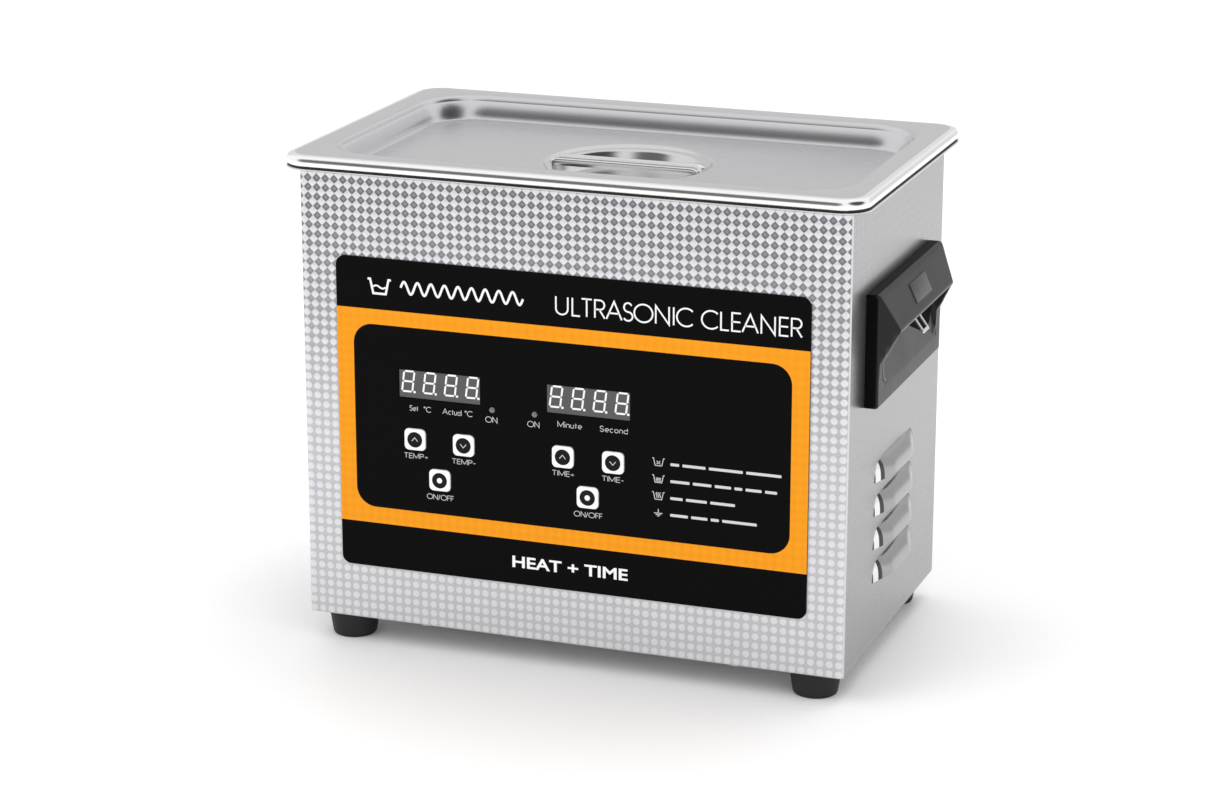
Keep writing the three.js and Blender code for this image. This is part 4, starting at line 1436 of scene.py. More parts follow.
@dataclass
class Basket:
    """The wire basket that stands in the tank."""

    half_x: float = 112.0
    half_y: float = 60.0
    radius: float = 16.0
    bottom: float = 124.6
    top: float = 190.0
    wire: float = 0.7
    mesh: float = 8.0

    def _outline(self, inset: float, z: float) -> Ring:
        """A level ring of the basket's wall."""
        return level(rounded(self.half_x - inset, self.half_y - inset, self.radius, 6), z)

    def wires(self) -> Shape:
        """The basket's mesh of bent wires."""
        shape = Shape()
        r = self.wire
        hx, hy = self.half_x - r, self.half_y - r
        low, high = self.bottom + r, self.top - 0.6
        across = int((hx - self.radius) * 2 // self.mesh)
        for step in range(across + 1):
            x = -across * self.mesh / 2 + step * self.mesh
            shape.tube([(x, -hy, high), (x, -hy, low + 5), (x, -hy + 1.4, low + 1.4), (x, -hy + 5, low),
                        (x, hy - 5, low), (x, hy - 1.4, low + 1.4), (x, hy, low + 5),
                        (x, hy, high)], r, 6)
        deep = int((hy - self.radius) * 2 // self.mesh)
        under = low + 2 * r * 0.9
        for step in range(deep + 1):
            y = -deep * self.mesh / 2 + step * self.mesh
            shape.tube([(-hx, y, high), (-hx, y, under + 5), (-hx + 1.4, y, under + 1.4),
                        (-hx + 5, y, under), (hx - 5, y, under), (hx - 1.4, y, under + 1.4),
                        (hx, y, under + 5), (hx, y, high)], r, 6)
        for step in range(7):
            shape.tube(self._outline(3 * r * 0.95, self.bottom + 8 + step * self.mesh), r, 6, loop=True)
        return shape

    def rim(self) -> Shape:
        """The flat rim with its rounded edges, and two runners under the floor."""
        shape = Shape()
        band = [(0.0, 0.0), (-1.4, 0.0), (-1.6, 0.6), (-1.4, 1.2), (0.6, 1.2), (0.9, 0.6), (0.9, -2.6),
                (0.4, -3.0), (0.0, -2.6)]
        rings = [level(rounded(self.half_x - o, self.half_y - o, self.radius - o * 0.5, 8),
                       self.top - 1.2 + up)
                 for o, up in band]
        shape.loft(rings, loop=True)
        for x in (-88, 88):
            path = [(x, -50, self.bottom + 1), (x, -48.5, 121), (x, -46, 118.6), (x, -43, 118.4),
                    (x, 43, 118.4), (x, 46, 118.6), (x, 48.5, 121), (x, 50, self.bottom + 1)]
            shape.tube(curve_through(path, 4), 1.2, 8)
        return shape

    def build(self, shop: Workshop) -> None:
        """Makes the basket.

        Args:
            shop: Where the pieces go.
        """
        shop.place(self.wires(), "basket_wires", "basket", "satin_steel", WIRE_STEEL,
                   replaces=("basket_body",),
                   smooth=70)
        shop.place(self.rim(), "basket_rim_and_runners", "basket", "satin_steel", WIRE_STEEL, smooth=40)
        for side in Side:
            x = side.value * 109.2
            path = [(x, -24, 176), (x, -24, 184), (x, -24, 192), (x, -22, 198), (x, -15, 202),
                    (x, 0, 202.4), (x, 15, 202), (x, 22, 198), (x, 24, 192), (x, 24, 184), (x, 24, 176)]
            shape = Shape().tube(curve_through(path, 5), 1.5, 12)
            shop.place(shape, f"basket_bail_{side.word}", "basket", "polished_steel", POLISHED,
                       replaces=(f"basket_handle_{side.word}",), smooth=70)


# ---------------------------------------------------------------- label, keys and displays
class Mark(Enum):
    """What is printed on a key."""

    UP = "up"
    DOWN = "down"
    POWER = "power"


def arc(centre: Flat, radii: Flat, first: float, last: float, steps: int = 12) -> list[Flat]:
    """Points round part of an ellipse."""
    turns = [(first + (last - first) * k / steps) * math.pi / 2 for k in range(steps + 1)]
    return [(centre[0] + radii[0] * math.cos(t), centre[1] + radii[1] * math.sin(t)) for t in turns]


GLYPHS: dict[str, tuple[float, list[list[Flat]]]] = {
    "U": (0.66, [[(0.0, 1.0), *arc((0.33, 0.33), (0.33, 0.33), 2, 4), (0.66, 1.0)]]),
    "L": (0.42, [[(0.0, 1.0), (0.0, 0.0), (0.42, 0.0)]]),
    "T": (0.56, [[(0.0, 1.0), (0.56, 1.0)], [(0.28, 1.0), (0.28, 0.0)]]),
    "R": (0.54, [[(0.0, 0.0), (0.0, 1.0), *arc((0.28, 0.74), (0.24, 0.26), 1, -1), (0.0, 0.48)],
                 [(0.24, 0.48), (0.54, 0.0)]]),
    "A": (0.84, [[(0.0, 0.0), (0.42, 1.0), (0.84, 0.0)], [(0.15, 0.34), (0.69, 0.34)]]),
    "S": (0.50, [[*arc((0.25, 0.75), (0.22, 0.25), 0.3, 3), *arc((0.25, 0.25), (0.25, 0.25), 1, -1.7)]]),
    "O": (1.0, [arc((0.5, 0.5), (0.5, 0.5), 0, 4, 28)]),
    "N": (0.72, [[(0.0, 0.0), (0.0, 1.0), (0.72, 0.0), (0.72, 1.0)]]),
    "I": (0.0, [[(0.0, 0.0), (0.0, 1.0)]]),
    "C": (0.86, [arc((0.5, 0.5), (0.5, 0.5), 0.5, 3.5, 22)]),
    "E": (0.46, [[(0.46, 1.0), (0.0, 1.0), (0.0, 0.0), (0.46, 0.0)], [(0.0, 0.51), (0.44, 0.51)]]),
    " ": (0.3, []),
    "M": (0.80, [[(0.0, 0.0), (0.0, 1.0), (0.40, 0.1), (0.80, 1.0), (0.80, 0.0)]]),
    "P": (0.54, [[(0.0, 0.0), (0.0, 1.0), *arc((0.30, 0.74), (0.24, 0.26), 1, -1), (0.0, 0.48)]]),
    "F": (0.46, [[(0.46, 1.0), (0.0, 1.0), (0.0, 0.0)], [(0.0, 0.51), (0.42, 0.51)]]),
    "/": (0.26, [[(0.0, 0.0), (0.26, 1.0)]]),
    "+": (0.44, [[(0.0, 0.42), (0.44, 0.42)], [(0.22, 0.2), (0.22, 0.64)]]),
    "-": (0.30, [[(0.0, 0.42), (0.30, 0.42)]]),
    "°": (0.24, [arc((0.12, 0.88), (0.12, 0.12), 0, 4, 10)]),
    "a": (0.44, [arc((0.22, 0.32), (0.22, 0.32), 0, 4, 14), [(0.44, 0.66), (0.44, 0.0)]]),
    "c": (0.42, [arc((0.24, 0.33), (0.24, 0.33), 0.6, 3.4, 12)]),
    "d": (0.46, [arc((0.23, 0.33), (0.23, 0.33), 0, 4, 14), [(0.46, 1.0), (0.46, 0.0)]]),
    "e": (0.46, [[(0.02, 0.34), (0.46, 0.34), *arc((0.24, 0.33), (0.23, 0.33), 0.1, 3.4, 14)]]),
    "i": (0.0, [[(0.0, 0.0), (0.0, 0.66)], [(0.0, 0.86), (0.0, 1.0)]]),
    "l": (0.0, [[(0.0, 0.0), (0.0, 1.0)]]),
    "n": (0.40, [[(0.0, 0.0), (0.0, 0.66)], [*arc((0.20, 0.44), (0.20, 0.22), 2, 0), (0.40, 0.0)]]),
    "o": (0.48, [arc((0.24, 0.33), (0.24, 0.33), 0, 4, 14)]),
    "t": (0.26, [[(0.12, 0.9), (0.12, 0.0)], [(0.0, 0.64), (0.26, 0.64)]]),
    "u": (0.40, [[(0.0, 0.66), *arc((0.20, 0.22), (0.20, 0.22), 2, 4), (0.40, 0.66)],
                 [(0.40, 0.2), (0.40, 0.0)]]),
}


@dataclass
class Label:
    """The printed film on the front: black, with an orange band round an inner black panel."""

    face: float = -75.5
    band: tuple[float, float, float] = (108.15, 58.0, 156.4)
    panel: tuple[float, float, float, float] = (100.4, 65.5, 149.6, 9.0)
    ink: float = 0.05
    captions: tuple[tuple[str, float, float, float, float], ...] = (
        ("Set  °C", -74.2, -64.2, 112.0, 2.3), ("Actual °C", -58.6, -44.6, 112.0, 2.4),
        ("ON", -38.4, -33.0, 110.4, 2.5), ("ON", -18.8, -13.4, 110.4, 2.5),
        ("Minute", -4.8, 6.2, 111.8, 2.4), ("Second", 14.6, 27.2, 111.8, 2.4),
        ("TEMP+", -77.2, -66.0, 90.1, 2.2), ("TEMP-", -54.4, -43.4, 89.8, 2.2),
        ("ON/OFF", -66.6, -54.0, 72.2, 2.3), ("TIME+", -7.4, 2.6, 89.7, 2.2),
        ("TIME-", 15.6, 25.4, 89.6, 2.2), ("ON/OFF", 2.6, 15.6, 72.1, 2.3),
    )
    gap: float = 0.17
    heading_line: float = 0.72
    heading_spread: float = 0.08
    caption_line: float = 0.25
    heading_box: tuple[float, float, float, float] = (-5.4, 104.2, 162.1, 169.9)
    notice_x: tuple[float, float] = (41.3, 46.7)
    notice_rows: tuple[tuple[float, tuple[float, ...]], ...] = (
        (100.8, (5.2, 13.6, 20.0, 20.6)), (93.2, (11.4, 11.0, 9.6, 4.6, 9.4, 7.0)),
        (85.6, (7.4, 12.4, 14.6)), (78.0, (10.6, 9.6, 4.8, 20.4)),
    )

    def orange(self) -> Shape:
        """The orange band as a frame."""
        half, low, high = self.band
        inner_half, inner_low, inner_high, radius = self.panel
        middle, inner_middle = (low + high) / 2, (inner_low + inner_high) / 2
        outer = rounded(half, (high - low) / 2, 0.05, 8, centre=(0.0, middle))
        inner = rounded(inner_half, (inner_high - inner_low) / 2, radius, 8, centre=(0.0, inner_middle))
        front, back = self.face - self.ink, self.face + 0.02
        rings = [upright(outer, front), upright(inner, front), upright(inner, back), upright(outer, back)]
        return Shape().loft(rings, loop=True)

    def _tub(self, shape: Shape, x: float, z: float, size: float, width: float) -> None:
        """Prints a small open tub.

        Args:
            shape: The print.
            x: Its middle.
            z: Its foot.
            size: Its height.
            width: The line's width.
        """
        front, back = self.face - self.ink, self.face + 0.02
        path = [(-0.86, 1.0), (-0.68, 1.0), (-0.46, 0.0), (0.46, 0.0), (0.68, 1.0), (0.86, 1.0)]
        shape.stroke([(x + a * size, z + b * size) for a, b in path], width, front, back)

    def _wave(self, shape: Shape, start: Flat, length: float, height: float, turns: float,
              width: float) -> None:
        """Prints a wavy line.

        Args:
            shape: The print.
            start: Its left end.
            length: Its length.
            height: Its swing above and below.
            turns: How many waves it has.
            width: The line's width.
        """
        count = max(8, round(turns * 14))
        path = [(start[0] + length * k / count, start[1] + height * math.sin(TAU * turns * k / count))
                for k in range(count + 1)]
        shape.stroke(path, width, self.face - self.ink, self.face + 0.02)

    def _gap(self, pair: tuple[str, str], spread: float) -> float:
        """The gap between two letters, widest where two upright strokes stand side by side."""
        upright = (pair[0] in "UNIM") + (pair[1] in "ULRNIEMPF")
        return self.gap + spread * (upright - 1)

    def _words(self, shape: Shape, words: str, box: tuple[float, float, float, float], line: float,
               spread: float = 0.0) -> None:
        """Prints words in thin, plain letters.

        Args:
            shape: The print.
            words: The words.
            box: Left, right, foot and top of the capitals.
            line: The letters' line width.
            spread: How much the gaps change with the letters' shapes.
        """
        left, right, foot, top = box
        gaps = [self._gap(pair, spread) for pair in zip(words, words[1:])] + [0.0]
        width = sum(GLYPHS[c][0] for c in words) + sum(gaps)
        across, up = (right - left) / width, top - foot
        x = left
        for letter, gap in zip(words, gaps):
            size, paths = GLYPHS[letter]
            for path in paths:
                spots = [(x + a * across, foot + b * up) for a, b in path]
                shape.stroke(spots, line, self.face - self.ink, self.face + 0.02)
            x += (size + gap) * across

    def headings(self) -> Shape:
        """The white print: a tub with a sound wave, the heading, and the line at the foot."""
        shape = Shape()
        front, back = self.face - self.ink, self.face + 0.02
        self._tub(shape, -87.6, 163.6, 6.4, 1.0)
        self._wave(shape, (-90.6, 166.6), 6.0, 0.6, 1.0, 0.8)
        self._wave(shape, (-77.5, 167.2), 57.0, 2.7, 9.0, 1.05)
        self._words(shape, "ULTRASONIC CLEANER", self.heading_box, self.heading_line,
                    self.heading_spread)
        shape.letters("HEAT + TIME", (-26.4, 27.4, 45.1, 50.4), front, back, 0.022)
        return shape

    def small_print(self) -> Shape:
        """The grey print: captions, and four pictograms with plain bars beside them."""
        shape = Shape()
        front, back = self.face - self.ink, self.face + 0.02
        for words, left, right, foot, height in self.captions:
            self._words(shape, words, (left, right, foot, foot + height), self.caption_line)
        icon_x, text_x = self.notice_x
        for index, (z, words) in enumerate(self.notice_rows):
            foot = z - 1.6
            if index < 3:
                self._tub(shape, icon_x, foot, 3.3, 0.32)
            if index == 0:
                shape.stroke([(icon_x - 0.8, foot + 0.7), (icon_x + 0.8, foot + 2.1)], 0.34, front, back)
                shape.stroke([(icon_x - 0.8, foot + 2.1), (icon_x + 0.8, foot + 0.7)], 0.34, front, back)
            if index == 1:
                for up in (0.65, 1.3, 1.95):
                    shape.stroke([(icon_x - 1.2, foot + up), (icon_x + 1.2, foot + up)], 0.34, front,
                                 back)
            if index == 2:
                for dx in (-0.8, 0.0, 0.8):
                    path = [(icon_x + dx + 0.25 * math.sin(k * 1.2), foot + 0.7 + k * 0.42)
                            for k in range(7)]
                    shape.stroke(path, 0.3, front, back)
            if index == 3:
                for width, up in ((1.9, 1.4), (1.2, 0.75), (0.5, 0.1)):
                    shape.stroke([(icon_x - width, foot + up), (icon_x + width, foot + up)], 0.34, front,
                                 back)
                shape.stroke([(icon_x, foot + 1.4), (icon_x, foot + 3.3)], 0.34, front, back)
            x = text_x
            for length in words:
                bar = rounded(length * 0.38, 0.62, 0.3, 2, centre=(x + length * 0.38, foot + 1.1))
                shape.pushed(bar, front, back)
                x += length * 0.76 + 1.5
        return shape

    def build(self, shop: Workshop) -> None:
        """Makes the label and its print.

        Args:
            shop: Where the pieces go.
        """
        shop.refine("overlay_panel", "housing", LABEL_BLACK, bevel=0.0)
        shop.place(self.orange(), "label_orange_band", "housing", "label_film", LABEL_ORANGE)
        shop.place(self.headings(), "label_headings", "housing", "label_film", PRINT_WHITE, smooth=20)
        shop.place(self.small_print(), "label_small_print", "housing", "label_film", PRINT_GREY,
                   smooth=20)


@dataclass
class Keys:
    """Six printed keys, each on its own body."""

    width: float = 10.0
    height: float = 9.8
    radius: float = 2.1
    disc: float = 3.55
    front: float = -76.0
    back: float = -73.4
    places: tuple[tuple[str, float, float, Mark], ...] = (
        ("key_temp_up", -71.9, 98.8, Mark.UP), ("key_temp_down", -48.9, 98.5, Mark.DOWN),
        ("key_heat_power", -60.4, 81.2, Mark.POWER), ("key_time_up", -2.5, 98.3, Mark.UP),
        ("key_time_down", 20.6, 98.2, Mark.DOWN), ("key_sonic_power", 8.9, 81.1, Mark.POWER),
    )

    def cap(self, x: float, z: float) -> Shape:
        """A key's cap with softened edges.

        Args:
            x: The key's middle.
            z: The key's middle.

        Returns:
            The cap and its stem.
        """
        steps = ((0.55, 0.0), (0.26, 0.03), (0.08, 0.14), (0.0, 0.34), (0.0, self.back - self.front))
        shape = Shape().pad([
            (rounded(self.width / 2 - inset, self.height / 2 - inset, self.radius - inset * 0.6, 8,
                     centre=(x, z)), self.front + depth)
            for inset, depth in steps
        ])
        return shape.turned([(1.6, self.back - 0.1), (1.6, self.back + 0.3)], (x, 0, z), Axis.Y, 20)

    def build(self, shop: Workshop) -> None:
        """Makes the keys.

        Args:
            shop: Where the pieces go.
        """
        ink, print_front = self.front - 0.02, self.front - 0.035
        for node, x, z, mark in self.places:
            word = node.removeprefix("key_")
            shop.place(self.cap(x, z), f"key_cap_{word}", node, "key_plastic", KEY_WHITE,
                       replaces=(node,),
                       smooth=50)
            disc = Shape().turned([(0.02, ink), (self.disc, ink), (self.disc, self.front + 0.05),
                                   (0.02, self.front + 0.05)], (x, 0, z), Axis.Y, 48)
            shop.place(disc, f"key_disc_{word}", node, "key_plastic", KEY_INK)
            sign = Shape()
            if mark is Mark.POWER:
                sign.turned([(0.02, print_front), (1.25, print_front), (1.25, self.front),
                             (0.02, self.front)],
                            (x, 0, z), Axis.Y, 32)
            else:
                tip = 0.95 if mark is Mark.UP else -0.95
                sign.stroke([(x - 1.4, z - tip * 0.7), (x, z + tip), (x + 1.4, z - tip * 0.7)], 0.34,
                            print_front, self.front)
            finish = PRINT_WHITE if mark is Mark.POWER else PRINT_GREY
            shop.place(sign, f"key_sign_{word}", node, "key_plastic", finish)


@dataclass
class Displays:
    """The two four-digit displays and the two lamps."""

    face: float = -75.3
    top: float = 130.15
    foot: float = 120.1
    digit: float = 5.7
    pitch: float = 10.05
    stroke: float = 0.84
    slant: float = 0.13
    lefts: tuple[tuple[str, float], ...] = (("temperature_display", -78.3), ("timer_display", -9.1))
    lamps: tuple[tuple[str, float, float], ...] = (("heat_lamp", -35.4, 116.0),
                                                   ("sonic_lamp", -15.6, 116.0))

    def _segment(self, shape: Shape, left: float, start: Flat, end: Flat) -> None:
        """One lit bar of a digit, with pointed ends.

        Args:
            shape: The digits.
            left: The digit's left foot.
            start: The bar's start in the digit, from its left foot.
            end: The bar's end.
        """
        a, b = Vector(start), Vector(end)
        along = (b - a).normalized()
        across = Vector((-along.y, along.x)) * (self.stroke / 2)
        a += along * 0.2
        b -= along * 0.2
        tip = along * (self.stroke / 2)
        corners = [a, a + tip + across, b - tip + across, b, b - tip - across, a + tip - across]
        outline = [(left + c.x + c.y * self.slant, self.foot + c.y) for c in corners]
        shape.pushed(outline, self.face - 0.03, self.face + 0.05)

    def digits(self, left: float) -> Shape:
        """Four figures of eight, each with its point.

        Args:
            left: The first one's left foot.

        Returns:
            The digits.
        """
        shape = Shape()
        half = self.stroke / 2
        wide, tall = self.digit - half, self.top - self.foot - half
        middle = (self.top - self.foot) / 2
        corners = {"a": (half, half), "b": (wide, half), "c": (half, middle), "d": (wide, middle),
                   "e": (half, tall), "f": (wide, tall)}
        for place in range(4):
            x = left + place * self.pitch
            for pair in ("ab", "cd", "ef", "ac", "bd", "ce", "df"):
                self._segment(shape, x, corners[pair[0]], corners[pair[1]])
            dot = rounded(0.55, 0.5, 0.25, 3, centre=(x + self.digit + 0.7, self.foot + 0.35))
            shape.pushed(dot, self.face - 0.03, self.face + 0.05)
        return shape

    def build(self, shop: Workshop) -> None:
        """Makes the displays and lamps.

        Args:
            shop: Where the pieces go.
        """
        for node, left in self.lefts:
            shop.refine(node, "housing", WINDOW_GREY, bevel=0.08)
            shop.place(self.digits(left), node.replace("display", "digits"), "housing", "display_plastic",
                       DIGIT_WHITE, smooth=20)
        for node, x, z in self.lamps:
            dome = [(0.02, -76.2), (0.45, -76.14), (0.85, -75.97), (1.15, -75.72), (1.35, -75.4),
                    (1.4, -75.0), (1.4, -71.4), (0.02, -71.4)]
            shape = Shape().turned(dome, (x, 0, z), Axis.Y, 32)
            shop.place(shape, f"{node}_dome", "housing", "lamp_plastic", LAMP_GREY, replaces=(node,),
                       smooth=50)


# ---------------------------------------------------------------- side handles
@dataclass
class Handles:
    """The moulded side handles: a hood over a finger pocket, a plate let into the hood and a sprung clip.
    """

    wall: float = 125.0
    bottom: float = 126.5
    top: float = 176.5
    base: float = 6.0
    lip: Flat = (13.4, 160.2)
    half_y: float = 51.5
    rise: Flat = (51.0, 1.04)
    pocket: tuple[float, float] = (44.4, 43.4)
    stations: tuple[float, ...] = (
        51.5, 51.35, 51.0, 50.4, 49.85, 49.3, 48.8, 48.2, 47.6, 47.0, 46.4, 45.7, 45.05, 44.4, 44.15,
        43.9, 43.65,
        43.4, 42.6, 41.0, 38.0, 30.0, 15.0,
    )
    slot: tuple[Flat, ...] = (
        (-1.0, 157.0), (-0.5, 151.3), (3.6, 149.6), (12.6, 146.0), (21.0, 142.8), (25.0, 141.8),
        (33.0, 141.6), (36.6, 142.8), (40.2, 146.6), (42.6, 151.0), (43.0, 157.0),
    )

    def _section(self, y: float) -> Ring:
        """One section of the right-hand handle.

        Args:
            y: Where it is.

        Returns:
            The section with softened corners.
        """
        base, top, bottom = self.base, self.top, self.bottom
        slope = base + max(0.0, self.rise[0] - abs(y)) * self.rise[1]
        pocket = min(1.0, max(0.0, (self.pocket[0] - abs(y)) / (self.pocket[0] - self.pocket[1])))

        def out(raised: float) -> float:
            """How far out the hood is, given where it ends up."""
            return min(raised, slope)

        def under(closed: Flat, opened: Flat) -> Flat:
            """A point below the hood, between the end's slope and the pocket."""
            start = out(closed[0])
            return start + (opened[0] - start) * pocket, closed[1] + (opened[1] - closed[1]) * pocket

        lip_out, lip_z = self.lip
        corners = [
            (0.0, bottom), (0.0, top), (base - 0.9, top), (base, top - 0.7),
            *((out(base + 7.4 * k / 12), top - 0.4 - 15.9 * k / 12) for k in range(1, 12)),
            (out(lip_out), lip_z), (out(lip_out - 0.3), lip_z - 1.2),
            under((10.6, 154.6), (11.8, lip_z - 1.4)), under((8.2, 150.0), (2.2, lip_z - 1.6)),
            under((6.2, 146.0), (2.7, 155.0)), under((6.0, 140.0), (5.06, 140.4)), (base, 134.5),
            (base, bottom + 0.7), (base - 0.9, bottom),
        ]
        edge = max(0.0, abs(y) - (self.half_y - 0.9)) / 0.9
        pull = 0.9 * (1 - math.sqrt(max(0.0, 1 - edge * edge)))
        middle = (bottom + top) / 2
        shrink = 1 - pull / ((top - bottom) / 2)
        soft = filleted(corners, 0.55, 3)
        return [(self.wall + max(0.0, reach - pull) if reach > 0.01 else self.wall, y,
                 middle + (z - middle) * shrink) for reach, z in soft]

    def body(self) -> Shape:
        """The right-hand moulding: 0 is its face and 1 its rim, painted darker as shade."""
        spots = [-y for y in self.stations] + [0.0] + list(reversed(self.stations))
        rings = [self._section(y) for y in spots]
        shape = Shape().loft(rings)
        # Faces at the wall and both ends get the darker finish: painted shade on the rim.
        limit = self.wall + self.base - 0.25
        for index, corners in enumerate(shape.faces):
            outs = [shape.points[c][0] for c in corners]
            if sum(outs) / len(outs) < limit and min(outs) < self.wall + 1.0:
                shape.finishes[index] = 1
        shape.finishes[-2:] = [1, 1]
        return shape

    def beads(self) -> Shape:
        """Thin light grey beads, a painted glint on the edges round the pocket's ends and along the lip.
        """
        shape = Shape()
        for sign in (-1, 1):
            path = [(13.0, 43.8, 159.6), (10.5, 44.0, 154.6), (8.2, 44.3, 150.0), (6.25, 44.5, 146.2),
                    (6.05, 44.4, 142.6), (6.02, 43.4, 139.4), (6.0, 41.6, 137.4), (6.0, 40.4, 136.8)]
            spots = [(self.wall + out, sign * y, z) for out, y, z in path]
            shape.tube(curve_through(spots, 4), 0.32, 8)
        ends = [(self.wall + 13.2, sign * 43.8, 159.4) for sign in (-1, 1)]
        return shape.tube(ends, 0.24, 8)

    def plate(self) -> Shape:
        """The thin plate let into the hood."""
        outline = [
            (rounded(12.6 - inset, 4.6 - inset, 0.5, 4), depth)
            for inset, depth in ((0.16, 0.16), (0.04, 0.12), (0.0, 0.03), (0.0, -0.4))
        ]
        rings = []
        lean = math.atan2(self.lip[0] - self.base, self.top - self.lip[1])
        for points, depth in outline:
            ring = []
            for along, up in points:
                out = 9.95 + depth * math.cos(lean) - up * math.sin(lean)
                z = 168.0 + up * math.cos(lean) + depth * math.sin(lean)
                ring.append((self.wall + out, along, z))
            rings.append(ring)
        return Shape().loft(rings)

    def shadow(self) -> Shape:
        """A near-black pad on the pocket where the clip comes out: painted shadow standing in for a deep
        slot.
        """
        rings = []
        for lift in (-0.3, 0.12):
            rings.append([(self.wall + 5.06 - (z - 140.4) * 0.16 + lift, y, z) for y, z in self.slot])
        return Shape().loft(rings)

    def clip(self) -> Shape:
        """The sprung clip: a slotted tongue that slopes out of the pocket."""
        outline = [(-4.4, 0.0), (-4.4, 14.3), (-3.8, 14.9), (3.8, 14.9), (4.4, 14.3), (4.4, 0.0),
                   (3.0, 0.0), (3.0, 13.3), (-3.0, 13.3), (-3.0, 0.0)]
        rings = []
        for lift in (0.0, 0.9):
            rings.append([(self.wall + 3.9 + 0.59 * s + 0.806 * lift, y, 160.4 - 0.806 * s + 0.59 * lift)
                          for y, s in outline])
        return Shape().loft(rings)

    def build(self, shop: Workshop) -> None:
        """Makes both handles.

        Args:
            shop: Where the pieces go.
        """
        for side in Side:
            mirror = Matrix.Diagonal((side.value, 1, 1, 1))
            shop.place(self.body().moved(mirror), f"handle_moulding_{side.word}", "housing",
                       "handle_plastic",
                       HANDLE_PLASTIC, HANDLE_RIM_PAINTED_SHADE, replaces=(f"handle_{side.word}",), smooth=24)
            # The light grey beads are a painted glint on the handle's edges.
            shop.place(self.beads().moved(mirror), f"handle_edge_glints_{side.word}", "housing",
                       "handle_plastic",
                       HANDLE_EDGE_PAINTED_GLINT, smooth=60)
            shop.place(self.plate().moved(mirror), f"handle_plate_{side.word}", "housing",
                       "handle_plastic",
                       BADGE_PLASTIC, smooth=40)
            # A near-black pad on the pocket: painted shadow in place of a slot.
            shop.place(self.shadow().moved(mirror), f"handle_slot_shadow_{side.word}", "housing",
                       "handle_plastic",
                       SLOT_SHADOW)
            shop.place(self.clip().moved(mirror), f"handle_tongue_{side.word}", "housing",
                       "polished_steel",
                       POLISHED, replaces=(f"handle_clip_{side.word}",), smooth=30, bevel=0.2)


